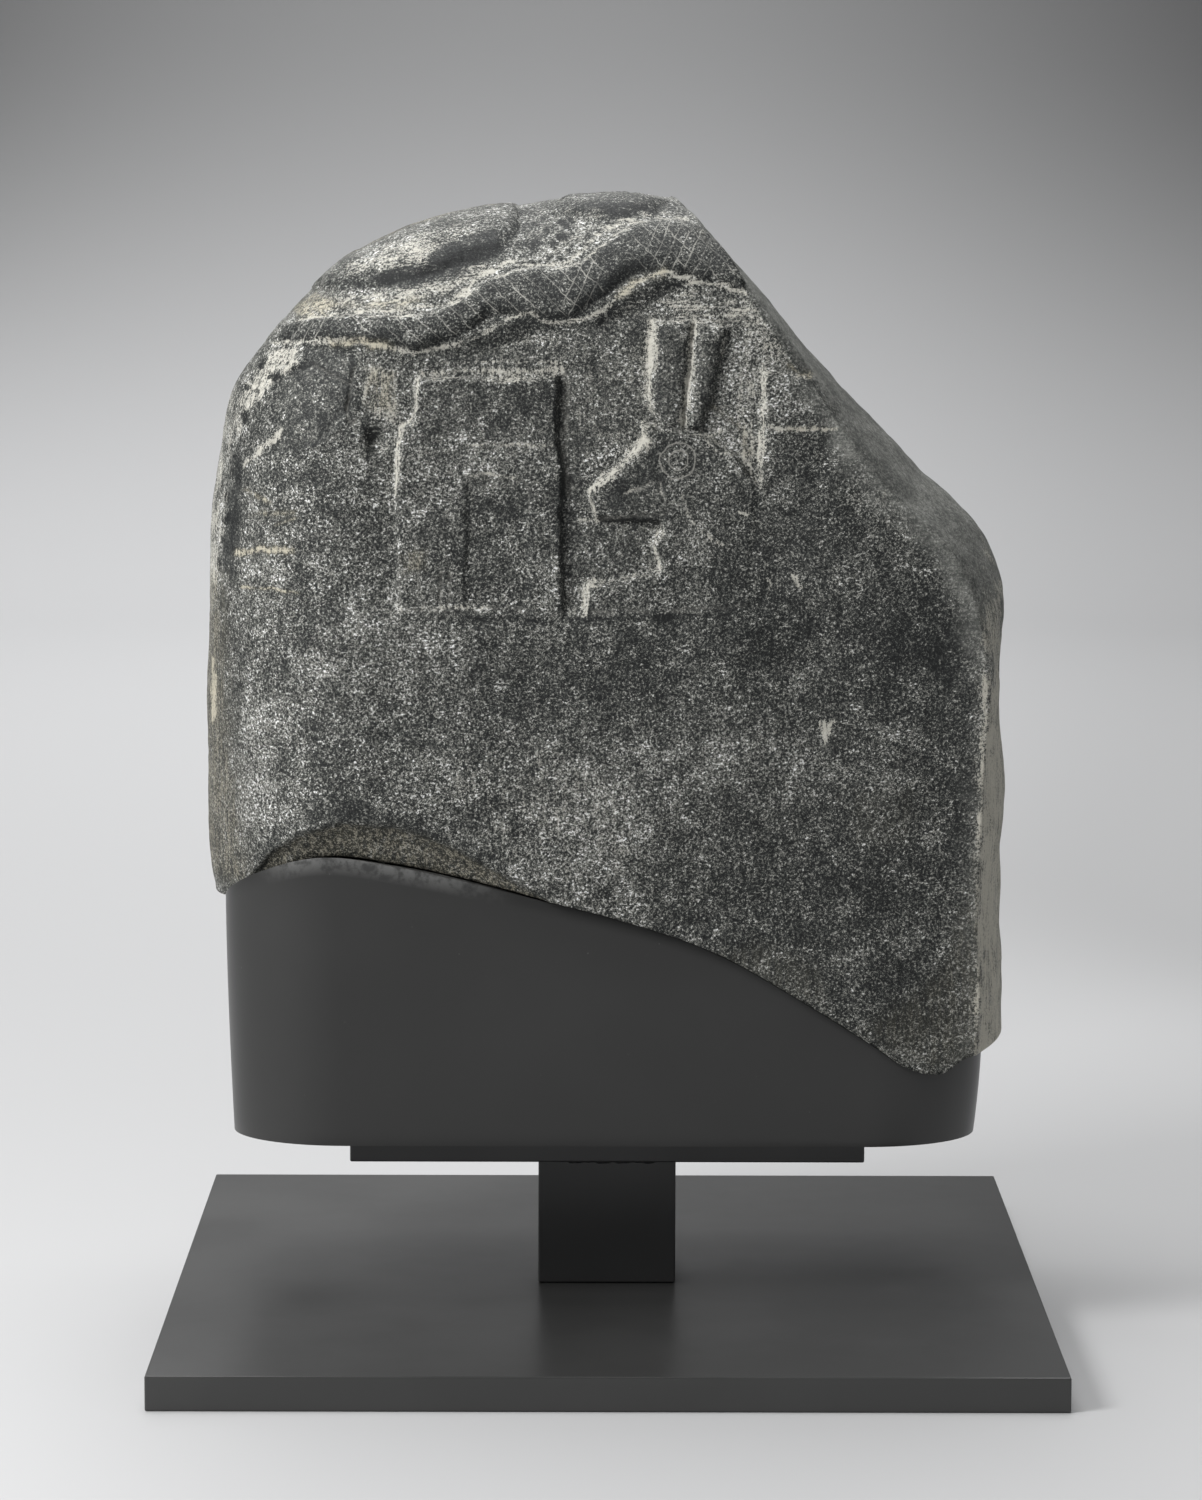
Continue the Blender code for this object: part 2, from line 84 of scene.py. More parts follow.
# Floor: a pale seamless sweep, which curves up all round and is painted darker with height.
# It is part of the studio, so it is staged.
SWEEP_RADIUS = 3.4
SWEEP_CURVE = 0.9
SWEEP_TOP = 1.6
SWEEP_SIDES = 96
SWEEP_STEPS = 24
FLAT_RINGS = (0.1, 0.4)
NEAR_COLOUR = (0.60, 0.60, 0.603)
FAR_COLOUR = (0.87, 0.87, 0.875)
PALER_FROM = (0.35, 2.6)
WALL_COLOUR = (0.35, 0.35, 0.352)
WALL_FROM = -0.1
WALL_DARK_AT = 0.62
# Painted shade: how much darker the sweep is to the right, away from the key light, and in its upper corners
PAINTED_SHADE_RIGHT = 0.75
PAINTED_SHADE_ACROSS = (-0.02, 0.22)
PAINTED_SHADE_FROM = (0.45, 1.1)
PAINTED_CORNER_SHADE = 15.0
PAINTED_CORNER_SHADE_LEAST = 0.5


def new_material(name):
    """An empty material: its node tree and its Principled shader."""
    made = bpy.data.materials.new(name)
    made.use_nodes = True
    return made, made.node_tree, made.node_tree.nodes["Principled BSDF"]


def join(socket, value):
    """Sets a shader input to a number or colour, or links another socket to it."""
    if isinstance(value, bpy.types.NodeSocket):
        value.id_data.links.new(value, socket)
    else:
        socket.default_value = value


def node(tree, kind, settings=None, **sockets):
    """A shader node whose sockets are set or linked by name; an underscore stands for a space."""
    made = tree.nodes.new(kind)
    for name, value in (settings or {}).items():
        setattr(made, name, value)
    for name, value in sockets.items():
        join(made.inputs[name.replace("_", " ")], value)
    return made


def calc(operation, *values):
    """A Math node's result for numbers and sockets, in the tree of the first socket."""
    tree = next(value.id_data for value in values if isinstance(value, bpy.types.NodeSocket))
    made = node(tree, "ShaderNodeMath", {"operation": operation})
    for socket, value in zip(made.inputs, values):
        join(socket, value)
    return made.outputs[0]


def times(first, second):
    """The product of two values."""
    return calc("MULTIPLY", first, second)


def between(value, low, high, start=0.0, end=1.0):
    """A soft step of a value from low to high, as a number from start to end."""
    made = node(value.id_data, "ShaderNodeMapRange", {"interpolation_type": "SMOOTHSTEP"},
                Value=value, From_Min=low, From_Max=high, To_Min=start, To_Max=end)
    return made.outputs["Result"]


def blend(factor, first, second):
    """Two colours mixed by a factor from 0 to 1."""
    made = node(factor.id_data, "ShaderNodeMix", {"data_type": "RGBA"})
    join(made.inputs[0], factor)
    for index, colour in ((6, first), (7, second)):
        join(made.inputs[index], colour if isinstance(colour, bpy.types.NodeSocket) else (*colour, 1.0))
    return made.outputs[2]


def grown(tree, size, detail=2.0, rough=0.5, stretch=(1, 1, 1), turn=(0, 0, 0)):
    """Cloudy noise on object coordinates: its grain in metres, drawn out along an axis by a stretch."""
    where = node(tree, "ShaderNodeTexCoord").outputs["Object"]
    turned = node(tree, "ShaderNodeMapping", Vector=where, Rotation=turn,
                  Scale=tuple(1 / (size * s) for s in stretch))
    return node(tree, "ShaderNodeTexNoise", Vector=turned.outputs[0], Scale=1.0, Detail=detail,
                Roughness=rough).outputs[0]


sweep_form = bmesh.new()
profile = [(SWEEP_RADIUS * share, 0.0) for share in FLAT_RINGS]
for step in range(SWEEP_STEPS + 1):
    angle = math.pi / 2 * step / SWEEP_STEPS
    profile.append((SWEEP_RADIUS - SWEEP_CURVE + SWEEP_CURVE * math.sin(angle),
                    SWEEP_CURVE * (1 - math.cos(angle))))
profile.append((SWEEP_RADIUS, SWEEP_TOP))
turns = [math.tau * k / SWEEP_SIDES for k in range(SWEEP_SIDES)]
rings = [[sweep_form.verts.new((r * math.cos(turn), r * math.sin(turn), z)) for turn in turns]
         for r, z in profile]
sweep_form.faces.new(rings[0])
for low, high in zip(rings, rings[1:]):
    for k in range(SWEEP_SIDES):
        after = (k + 1) % SWEEP_SIDES
        sweep_form.faces.new((low[k], high[k], high[after], low[after]))
bmesh.ops.recalc_face_normals(sweep_form, faces=sweep_form.faces)
sweep_mesh = bpy.data.meshes.new("floor")
sweep_form.to_mesh(sweep_mesh)
sweep_form.free()
sweep = bpy.data.objects.new("floor", sweep_mesh)
bpy.context.scene.collection.objects.link(sweep)
sweep_mesh.shade_smooth()
sweep_paint, tree, shader = new_material("pale sweep")
spot = node(tree, "ShaderNodeTexCoord").outputs["Object"]
axes = node(tree, "ShaderNodeSeparateXYZ", Vector=spot).outputs
level_spot = node(tree, "ShaderNodeCombineXYZ", X=axes["X"], Y=axes["Y"]).outputs[0]
away = node(tree, "ShaderNodeVectorMath", {"operation": "LENGTH"}, Vector=level_spot).outputs["Value"]
level = blend(between(away, *PALER_FROM), NEAR_COLOUR, FAR_COLOUR)
swept = blend(between(axes["Z"], WALL_FROM, WALL_DARK_AT), level, WALL_COLOUR)
# Painted shade: darker to the right, where the key light falls off, and darker towards the upper corners of
# the wall.
sideways = calc("DIVIDE", axes["X"], calc("ADD", away, 0.3))
side = between(times(sideways, between(away, *PAINTED_SHADE_FROM)), *PAINTED_SHADE_ACROSS, 1.0, PAINTED_SHADE_RIGHT)
corner = times(calc("POWER", calc("ABSOLUTE", sideways), 2.0),
               between(axes["Z"], 0.0, WALL_DARK_AT, 0.0, -PAINTED_CORNER_SHADE))
side = times(side, calc("MAXIMUM", calc("ADD", corner, 1.0), PAINTED_CORNER_SHADE_LEAST))
shaded = node(tree, "ShaderNodeVectorMath", {"operation": "SCALE"}, Vector=swept, Scale=side).outputs[0]
tree.links.new(shaded, shader.inputs["Base Color"])
shader.inputs["Roughness"].default_value = 0.75
sweep_mesh.materials.append(sweep_paint)


# Light: one large soft lamp from the upper left front, a weaker one from the right, and a soft
# overhead that lights the foot plate and the sweep.
def soft_lamp(name, place, aim, width, height, power):
    """A rectangular area lamp that the camera doesn't see, turned to a place."""
    data = bpy.data.lights.new(name, "AREA")
    data.shape = "RECTANGLE"
    data.size, data.size_y = width, height
    data.energy = power
    lamp = bpy.data.objects.new(name, data)
    bpy.context.scene.collection.objects.link(lamp)
    lamp.location = place
    lamp.rotation_euler = (Vector(aim) - Vector(place)).to_track_quat("-Z", "Y").to_euler()
    lamp.visible_camera = False


soft_lamp("key light", (-0.85, -0.62, 0.85), (0.0, 0.0, 0.24), 0.42, 0.42, 11.5)
soft_lamp("fill light", (1.7, -1.5, 0.9), (0.0, 0.0, 0.25), 1.4, 1.4, 1.2)
soft_lamp("overhead light", (-0.2, 0.35, 2.3), (0.0, 0.1, 0.0), 1.8, 1.6, 37.0)
soft_lamp("back light", (-0.2, 2.1, 1.9), (0.0, 2.2, 0.2), 2.6, 0.8, 20.0)
studio = bpy.data.worlds.new("studio")
bpy.context.scene.world = studio
studio.use_nodes = True
studio.node_tree.nodes["Background"].inputs["Color"].default_value = (0.93, 0.96, 1.0, 1.0)
studio.node_tree.nodes["Background"].inputs["Strength"].default_value = 0.18


# Foot plate: sawn steel plate under sprayed dark grey satin paint. It lies loose on the shelf
# and carries the post.
# Painted light: the foot plate's paint is a lighter copy of the mount's one paint, standing for the light on
# its top.
LIT_PAINT_COLOUR = (0.047, 0.047, 0.046)
PAINT_WORN = (0.064, 0.064, 0.063)
# Painted shade: the post's paint is a darker copy of the mount's paint, for where it stands under the
# cradle.
POST_COLOUR_SHADED = (0.034, 0.034, 0.034)


def satin_paint(name, colour, worn):
    """Sprayed paint: a fine orange peel, a slow change of gloss, and a few pale specks of dust."""
    paint, tree, shader = new_material(name)
    cloud = grown(tree, 0.060, detail=3.0)
    specks = between(grown(tree, 0.0016, detail=1.0), 0.80, 0.84, 0.0, 0.45)
    clean = blend(between(cloud, 0.35, 0.75, 0.0, 0.5), colour, worn)
    tree.links.new(blend(specks, clean, (0.16, 0.16, 0.155)), shader.inputs["Base Color"])
    tree.links.new(between(cloud, 0.3, 0.7, 0.30, 0.38), shader.inputs["Roughness"])
    peel = node(tree, "ShaderNodeBump", Height=grown(tree, 0.0011), Strength=0.25, Distance=0.00006)
    tree.links.new(peel.outputs[0], shader.inputs["Normal"])
    return paint


def dress(name, material):
    """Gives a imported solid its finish."""
    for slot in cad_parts[name].material_slots:
        slot.material = material


lit_mount_paint = satin_paint("dark grey satin paint", LIT_PAINT_COLOUR, PAINT_WORN)
dress("base_plate", lit_mount_paint)


# Post and bearing plate: a short square steel bar, welded upright on the middle of the foot plate,
# and the steel plate welded on its top, which the cradle stands on.
# Their paint is a darker copy of the mount's paint: painted shade under the cradle.
shaded_post_paint = satin_paint("dark grey paint darkened as shade, on the post", POST_COLOUR_SHADED, (0.040, 0.040, 0.040))
dress("post", shaded_post_paint)
dress("bearing_plate", shaded_post_paint)


# Weld bead: the run of weld that joins the post's front to the bearing plate, left rippled
# and painted over. It sits in the corner between the two.
BEAD_FROM = -0.0150
BEAD_LENGTH = 0.0335
BEAD_RADIUS = 0.0011
BEAD_LEVELS = 45
BEAD_SIDES = 12
BEAD_WOBBLE = 0.35
BEAD_RIPPLES = 58
BEAD_SWAY = 0.0005
BEAD_OUT = 0.0002
BEAD_DOWN = 0.0010


def upright_tube(name, sides, radius, height, levels, ends):
    """A closed upright cylinder, whose sides are divided into levels."""
    bpy.ops.mesh.primitive_cylinder_add(vertices=sides, radius=radius, depth=height, end_fill_type=ends)
    made = bpy.context.object
    made.name = name
    bpy.ops.object.mode_set(mode="EDIT")
    bpy.ops.mesh.select_all(action="DESELECT")
    form = bmesh.from_edit_mesh(made.data)
    for edge in form.edges:
        edge.select_set(abs(edge.verts[0].co.z - edge.verts[1].co.z) > height / 2)
    bmesh.update_edit_mesh(made.data)
    bpy.ops.mesh.subdivide(number_cuts=levels - 1)
    bpy.ops.object.mode_set(mode="OBJECT")
    return made


bead = upright_tube("weld_bead", BEAD_SIDES, BEAD_RADIUS, BEAD_LENGTH, BEAD_LEVELS, "TRIFAN")
post_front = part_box("post")[0][1]
post_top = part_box("post")[1][2]
for vert in bead.data.vertices:
    along = vert.co.z / BEAD_LENGTH + 0.5
    taper = min(1.0, 4 * math.sqrt(max(0.0, along * (1 - along))) + 0.15)
    ripple = 1 + BEAD_WOBBLE * (0.5 * math.sin(along * BEAD_RIPPLES) + noise.noise((along * 9, 0, 3)))
    sway = BEAD_SWAY * noise.noise((along * 6, 2, 0))
    vert.co = (BEAD_FROM + along * BEAD_LENGTH, post_front + vert.co.x * taper * ripple - BEAD_OUT,
               post_top - BEAD_DOWN + vert.co.y * taper * ripple + sway)
# The bead takes the post's darker paint, painted shade.
bead.data.materials.append(shaded_post_paint)
bead.data.shade_smooth()
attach(bead, "root")
bpy.ops.object.select_all(action="DESELECT")


# Stone: the broken upper part of a rounded marker of dark fine-grained stone. A snake runs under its
# crest, and below it stand a shrine, an animal's head and a third symbol that the break cuts off.
# It rests by its own weight in the cradle.
STONE_WIDTH = 0.297
STONE_HEIGHT = 0.316
STONE_DEPTH = 0.146
STONE_FOOT = 0.1015
STONE_LEFT = -0.149
SIDE_ROUND = 0.066
TOP_ROUND = 0.060
WIDEST_AT = 0.38
BACK_DRAWS_IN = 0.75
FLANK_FULLNESS = 1.6
HALF_DEPTH = STONE_DEPTH / 2
PERCENT_ACROSS = STONE_WIDTH / 100
PERCENT_UP = STONE_HEIGHT / 100
BREAK_DROP_BEHIND = 0.0140
BREAK_DROP_RUN = 0.0470
BREAK_DROP_SHARES = (7.0, 34.0)

# Outlines and figures are in percent of the stone's width and height
LEFT_OUTLINE = [(0.9, 22.3), (0.4, 28), (0.2, 37), (-0.2, 49.5), (0.4, 59.6), (1.8, 69.7), (3.7, 77.3),
                (7.7, 82.5)]
TOP_OUTLINE = [(7.7, 82.5), (11.9, 87.4), (17.5, 92), (24.8, 94.8), (33.3, 96.7), (40, 98), (46, 99.2),
               (51.9, 99.8), (57.8, 99.2)]
RIGHT_FRONT_EDGE = [(94.8, 2.1), (95.4, 8), (94.9, 16.5), (95.5, 33), (95.9, 44), (94.6, 52.5), (91, 59.8),
                    (84.9, 65.6), (78.9, 72.3), (73.3, 80.4), (66.4, 89.1), (60.8, 95.8), (57.8, 99.2)]
RIGHT_WIDEST_LINE = [(99.4, 2.4), (99.4, 9), (99, 18), (99, 34), (98.1, 44.5), (98.6, 54.5), (95.2, 61.6),
                     (88, 67.9), (81.4, 74.4), (74.9, 80.9), (67.2, 89.7), (61.2, 96.1), (57.8, 99.2)]
BREAK_LINE = [(0, 22.3), (6.2, 23.3), (15.6, 25), (24.9, 23.8), (33.2, 22.1), (43.9, 19.6), (50.6, 18),
              (63.1, 14), (73.9, 8.3), (82.7, 3.1), (86.5, 0.7), (89.5, 0), (91.3, 0.3), (93.4, 1.8),
              (100, 2.6)]
FLAKE_SCARS = [
    ((0.42, 0.88, -0.20), 0.0110),
    ((-0.30, 0.86, 0.42), 0.0080),
    ((-0.55, 0.80, -0.22), 0.0055),
    ((0.88, 0.46, 0.12), 0.0050),
    ((-0.90, 0.42, 0.10), 0.0035),
    ((0.16, 0.80, 0.58), 0.0070),
    ((0.10, 0.99, -0.05), 0.0016),
]
FLAKE_EDGE = 0.0030
WEATHERING = [(0.075, 0.0018), (0.028, 0.0009)]


def across(share):
    """Place in metres of a share of the stone's width."""
    return STONE_LEFT + share * PERCENT_ACROSS


def up(share):
    """Height in metres of a share of the stone's height."""
    return STONE_FOOT + share * PERCENT_UP


def share_at(x):
    """Share of the stone's width at a place in metres."""
    return (x - STONE_LEFT) / PERCENT_ACROSS


def placed(points):
    """Landmarks given in shares, as x and z in metres."""
    return np.array([(across(u), up(v)) for u, v in points])


def curve_through(points, value):
    """Smooth curve through landmarks: the second coordinate read at a value of the first."""
    x, y = np.array(points, float).T
    chord = np.diff(y) / np.diff(x)
    slope = np.concatenate([chord[:1], (chord[1:] + chord[:-1]) / 2, chord[-1:]])
    value = np.clip(value, x[0], x[-1])
    cell = np.clip(np.searchsorted(x, value, side="right") - 1, 0, len(x) - 2)
    span = x[cell + 1] - x[cell]
    f = (value - x[cell]) / span
    start = (1 + 2 * f) * (1 - f) ** 2 * y[cell] + f * (1 - f) ** 2 * span * slope[cell]
    end = f * f * (3 - 2 * f) * y[cell + 1] - f * f * (1 - f) * span * slope[cell + 1]
    return start + end


def run_along(places):
    """Distance covered along a line at each of its points."""
    return np.concatenate([[0.0], np.cumsum(np.hypot(*np.diff(places, axis=0).T))])


def smooth_line(places, run, marks):
    """Places on the smooth line through some places, at distances along it."""
    return np.stack([curve_through(list(zip(run, places[:, axis])), marks) for axis in (0, 1)], axis=-1)


def outline_stations(points):
    """Fraction of the outline's length at each of its landmarks."""
    run = run_along(placed(points))
    return run / run[-1]


def along_outline(points, fraction, stations=None):
    """Places on an outline, as x and z in metres, at fractions of its length."""
    if stations is None:
        stations = outline_stations(points)
    return smooth_line(placed(points), stations, fraction)


def ease(value, low, high):
    """Soft step from 0 at low to 1 at high."""
    f = np.clip((value - low) / (high - low), 0.0, 1.0)
    return f * f * (3 - 2 * f)


def ease_across(x, low, high):
    """Soft step between two shares of the stone's width."""
    return ease(x, across(low), across(high))


def ease_up(z, low, high):
    """Soft step between two shares of the stone's height."""
    return ease(z, up(low), up(high))


def underside(x, y):
    """Height of the stone's broken underside. It lies lower behind, at the left end."""
    share = share_at(x)
    front = up(curve_through(BREAK_LINE, share))
    backwards = ease(y, -HALF_DEPTH, -HALF_DEPTH + BREAK_DROP_RUN)
    return front - BREAK_DROP_BEHIND * backwards * (1 - ease(share, *BREAK_DROP_SHARES))


def on_underside(x, y):
    """Places on the underside, as x and z in metres."""
    return np.stack([x, underside(x, y)], axis=-1)


def stone_surface(cells):
    """Places of a unit block's surface points on the stone, before carving. Columns run left to right,
    bottom to top and front to back, each from 0 to 1."""
    s, t, b = cells.T
    side = 2 * b - 1
    corner_turn = math.pi / 2 * HALF_DEPTH / (HALF_DEPTH + SIDE_ROUND)
    turn = corner_turn * side
    depth = np.sin(turn) / math.sin(corner_turn)
    pull = (1 - np.cos(turn)) / (1 - math.cos(corner_turn))

    def rolled(distance, radius):
        """Distance from the outline, and fullness of the depth, once the flank is rolled round."""
        angle = math.pi / 2 * np.clip((HALF_DEPTH + distance) / (HALF_DEPTH + radius), 0, 1)
        shift = np.where(distance < radius, radius * (1 - np.cos(angle)) - distance, 0)
        return distance + shift * pull, np.sin(angle)

    stations = outline_stations(RIGHT_FRONT_EDGE)
    row_width = along_outline(RIGHT_FRONT_EDGE, t, stations)[:, 0] - along_outline(LEFT_OUTLINE, t)[:, 0]
    column_height = along_outline(TOP_OUTLINE, s)[:, 1] - underside(across(100 * s), 0 * s)
    inward, fullness = rolled(s * row_width, SIDE_ROUND)
    downward, top_fullness = rolled((1 - t) * column_height, TOP_ROUND)
    s = inward / row_width
    t = 1 - downward / column_height
    y = HALF_DEPTH * depth * fullness * top_fullness

    behind = np.clip(b / WIDEST_AT, 0, 1)
    widest = (1 - (1 - behind) ** FLANK_FULLNESS - BACK_DRAWS_IN * ease(b, WIDEST_AT, 1.0))[:, None]
    left = along_outline(LEFT_OUTLINE, t)
    top = along_outline(TOP_OUTLINE, s)
    front_edge = along_outline(RIGHT_FRONT_EDGE, t, stations)
    right = front_edge + (along_outline(RIGHT_WIDEST_LINE, t, stations) - front_edge) * widest
    corner_front, corner_wide = placed([RIGHT_FRONT_EDGE[0], RIGHT_WIDEST_LINE[0]])
    low_left, top_left, top_right = placed([LEFT_OUTLINE[0], TOP_OUTLINE[0], TOP_OUTLINE[-1]])
    low_right = corner_front + (corner_wide - corner_front) * widest
    bottom = on_underside(low_left[0] + (low_right[:, 0] - low_left[0]) * s, HALF_DEPTH * depth * fullness)
    left_foot = on_underside(low_left[0] + 0 * s, HALF_DEPTH * depth)
    right_foot = on_underside(low_right[:, 0], HALF_DEPTH * depth)
    s, t = s[:, None], t[:, None]
    left = left + (1 - t) ** 3 * (left_foot - low_left)
    right = right + (1 - t) ** 3 * (right_foot - low_right)
    place = (1 - t) * bottom + t * top + (1 - s) * left + s * right
    place -= (1 - s) * (1 - t) * left_foot + s * (1 - t) * right_foot
    place -= (1 - s) * t * top_left + s * t * top_right
    return np.stack([place[:, 0], y, place[:, 1]], axis=-1)


def flaked(places):
    """Cuts the broad scars: what stands past a scar's plane is laid back onto it, with a softened edge."""
    for facing, cap in FLAKE_SCARS:
        facing = np.array(facing) / math.hypot(*facing)
        reach = places @ facing
        past = reach - reach.max() + cap
        places = places - ((past + np.sqrt(past ** 2 + FLAKE_EDGE ** 2)) / 2)[:, None] * facing
    return places


def weathering(places):
    """Slow unevenness of the worn and broken surface, in metres along the normal."""
    height = np.zeros(len(places))
    for size, depth in WEATHERING:
        height += [depth * noise.noise(Vector(place) / size) for place in places]
    return height


# The block is divided finely where the figures are: shares of its width and height, and the
# number of cells up to each share.
CELLS_ACROSS = [(0.0, 0), (0.10, 26), (0.80, 286), (1.0, 330)]
CELLS_UP = [(0.0, 0), (0.42, 76), (0.84, 204), (0.975, 262), (1.0, 276)]
CELLS_DEEP = [(0.0, 0), (0.06, 4), (0.94, 34), (1.0, 38)]
STONE_TRIANGLES = 190000


def divided(plan):
    """Shares at which a side of the block is divided."""
    shares, counts = np.array(plan).T
    return np.interp(np.arange(counts[-1] + 1), counts, shares)


def block_skin():
    """The block's surface: its points as shares across, up and deep, and its four-sided faces."""
    marks = [divided(CELLS_ACROSS), divided(CELLS_UP), divided(CELLS_DEEP)]
    sizes = [len(m) for m in marks]
    faces = []
    for fixed in range(3):
        first, second = (fixed + 1) % 3, (fixed + 2) % 3
        for end in (0, sizes[fixed] - 1):
            a, b = np.meshgrid(np.arange(sizes[first] - 1), np.arange(sizes[second] - 1), indexing="ij")
            corners = []
            for da, db in ((0, 0), (1, 0), (1, 1), (0, 1)):
                key = [None] * 3
                key[fixed], key[first], key[second] = np.full(a.shape, end), a + da, b + db
                corners.append((key[0] * sizes[1] + key[1]) * sizes[2] + key[2])
            # across, up and deep make a left-handed set, so the near side is the one wound as it comes
            faces.append(np.stack(corners if end == 0 else corners[::-1], axis=-1).reshape(-1, 4))
    faces = np.concatenate(faces)
    keys, faces = np.unique(faces, return_inverse=True)
    faces = faces.reshape(-1, 4)
    points = np.stack([marks[0][keys // (sizes[1] * sizes[2])], marks[1][keys // sizes[2] % sizes[1]],
                       marks[2][keys % sizes[2]]], axis=-1)
    return points, faces


def point_normals(places, faces):
    """Outward direction at each point, weighted by the faces round it."""
    a, b, c, d = (places[faces[:, k]] for k in range(4))
    facing = np.cross(c - a, d - b)
    normals = np.zeros_like(places)
    for k in range(4):
        for axis in range(3):
            normals[:, axis] += np.bincount(faces[:, k], facing[:, axis], len(places))
    return normals / np.maximum(np.linalg.norm(normals, axis=1), 1e-12)[:, None]


# Angles that turn a noise away from the axes, so that its cells never line up with the face
UNALIGNED = (0.9, 0.6, 0.5)
LATTICE_TURN = np.array(Matrix.Rotation(UNALIGNED[0], 3, "X") @ Matrix.Rotation(UNALIGNED[1], 3, "Y")
                        @ Matrix.Rotation(UNALIGNED[2], 3, "Z"))


def grain(places, size, seed, stretch=(1, 1, 1)):
    """Random unevenness from -1 to 1 with a grain in metres, blended between a lattice's corners."""
    spot = places / (np.array(stretch) * size) @ LATTICE_TURN + seed * 7.31
    cell = np.floor(spot).astype(np.int64)
    f = spot - cell
    f = f * f * (3 - 2 * f)
    total = np.zeros(len(places))
    for corner in itertools.product((0, 1), repeat=3):
        x, y, z = (cell + corner).T
        mixed = (x * 73856093 ^ y * 19349663 ^ z * 83492791 ^ seed * 2654435) & 0x7FFFFFF
        mixed = (mixed * (mixed * mixed % 15485863 + 789221) + 1376312) & 0xFFFFF
        weight = np.prod(np.where(corner, f, 1 - f), axis=1)
        total += weight * (mixed / 0x7FFFF - 1)
    return total


def layered(places, layers):
    """Sum of several grains, each given by its height, its size and its seed."""
    return sum(height * grain(places, size, seed) for height, size, seed in layers)


def distance_to(x, z, start, end):
    """Distance in metres of each point from a straight piece of a line."""
    dx, dz = end - start
    f = np.clip(((x - start[0]) * dx + (z - start[1]) * dz) / (dx * dx + dz * dz), 0, 1)
    return np.hypot(x - start[0] - f * dx, z - start[1] - f * dz)


def distance_inside(outline, x, z):
    """Distance in metres from an outline given in shares, positive inside it."""
    corners = placed(outline)
    nearest = np.full(x.shape, np.inf)
    inside = np.zeros(x.shape, bool)
    for start, end in zip(corners, np.roll(corners, -1, axis=0)):
        nearest = np.minimum(nearest, distance_to(x, z, start, end))
        dx, dz = end - start
        if dz:
            crosses = (start[1] > z) != (end[1] > z)
            inside ^= crosses & (x < start[0] + (z - start[1]) / dz * dx)
    return np.where(inside, nearest, -nearest)


def flowing(line):
    """A line of landmarks made smooth: the same places with rounded bends, in metres."""
    corners = placed(line)
    if len(corners) < 4:
        return corners
    run = run_along(corners)
    return smooth_line(corners, run, np.linspace(0, run[-1], 5 * len(corners)))


def distance_from(line, x, z, reach):
    """Distance in metres from an open line given in shares, for the points within reach of it."""
    corners = flowing(line)
    low, high = corners.min(axis=0) - reach, corners.max(axis=0) + reach
    near = (x > low[0]) & (x < high[0]) & (z > low[1]) & (z < high[1])
    close_x, close_z = x[near], z[near]
    nearest = np.full(close_x.shape, np.inf)
    for start, end in zip(corners, corners[1:]):
        nearest = np.minimum(nearest, distance_to(close_x, close_z, start, end))
    distance = np.full(x.shape, np.inf)
    distance[near] = nearest
    return distance


def raised(outline, rise, x, z, edge):
    """A figure left standing with soft edges."""
    return rise * ease(distance_inside(outline, x, z), -edge / 2, edge / 2)


def rounded_raise(outline, rise, x, z, run):
    """A swelling figure whose height grows over a run from its outline."""
    f = np.clip(distance_inside(outline, x, z) / run, 0, 1)
    return rise * np.sqrt(1 - (1 - f) ** 2)


# The sunk field and the figures that stand in it
FIELD_DEPTH = 0.0034
CARVED_EDGE = 0.0018
SUNK_FIELD = [(12, 83.6), (10, 75.6), (10, 66), (12, 51.4), (40, 51.4), (70, 51.8), (73, 58), (77, 66),
              (80, 78), (66.4, 90.6), (58, 91.6), (48, 87.3), (41, 86.6), (33, 84.2)]
FIELD_RUN = 0.0085
FIELD_DEEPENS = (8.0, 32.0)
THIRD_FIGURE = [(68.5, 80), (68.3, 67.6), (66.4, 65), (66, 50), (90, 50), (90, 66), (75.4, 79.2)]
THIRD_FIGURE_RISE = 0.0026
SHRINE = [(27.2, 79.1), (43.9, 79.1), (43.8, 72.1), (44.4, 70.7), (44.5, 52), (24.8, 52), (24.6, 66.5),
          (25.1, 73.3), (26.9, 74.3)]
SHRINE_RISE = 0.0030
NICHE = [(33, 52), (40.3, 52), (40.5, 65.2), (39.3, 67.7), (36.4, 68.1), (33.1, 67.9)]
NICHE_DEPTH = 0.0009
ANIMAL_HEAD = [(54.4, 72.4), (47.8, 66.6), (48.5, 63.6), (56.3, 63), (56.7, 62.2), (55.4, 60.8),
               (56.4, 57.6), (50.7, 56.3), (47.6, 55.8), (47.1, 52), (66.8, 52), (67.8, 67.4), (64.9, 70.8),
               (60.8, 73), (54, 74.2)]
HEAD_RISE = 0.0030
LEFT_PLUME = [(55.2, 85.8), (54.8, 75.9), (56.6, 73.4), (58.8, 73.4), (60.2, 85.8)]
RIGHT_PLUME = [(60.3, 85.7), (58.9, 73.4), (61.2, 73.4), (62.5, 77.6), (64.5, 85.3)]
PLUME_RISE = 0.0032
PLUME_RUN = 0.0055
SNAKE_SPINE = [(7, 83.6), (15, 84.4), (21, 84.6), (28, 84.6), (32, 86), (36.4, 88.4), (41, 88.9),
               (45.5, 88.9), (49, 91), (53, 93.4), (58, 93.8), (62, 93.2), (67, 92.4)]
SNAKE_HALF_WIDTH = [(7, 1.1), (15, 1.2), (28, 1.8), (36, 2.1), (45, 2.8), (58, 2.7), (67, 3.1)]
SNAKE_RISE = 0.0026
SNAKE_SWELLS = (4.0, 20.0)
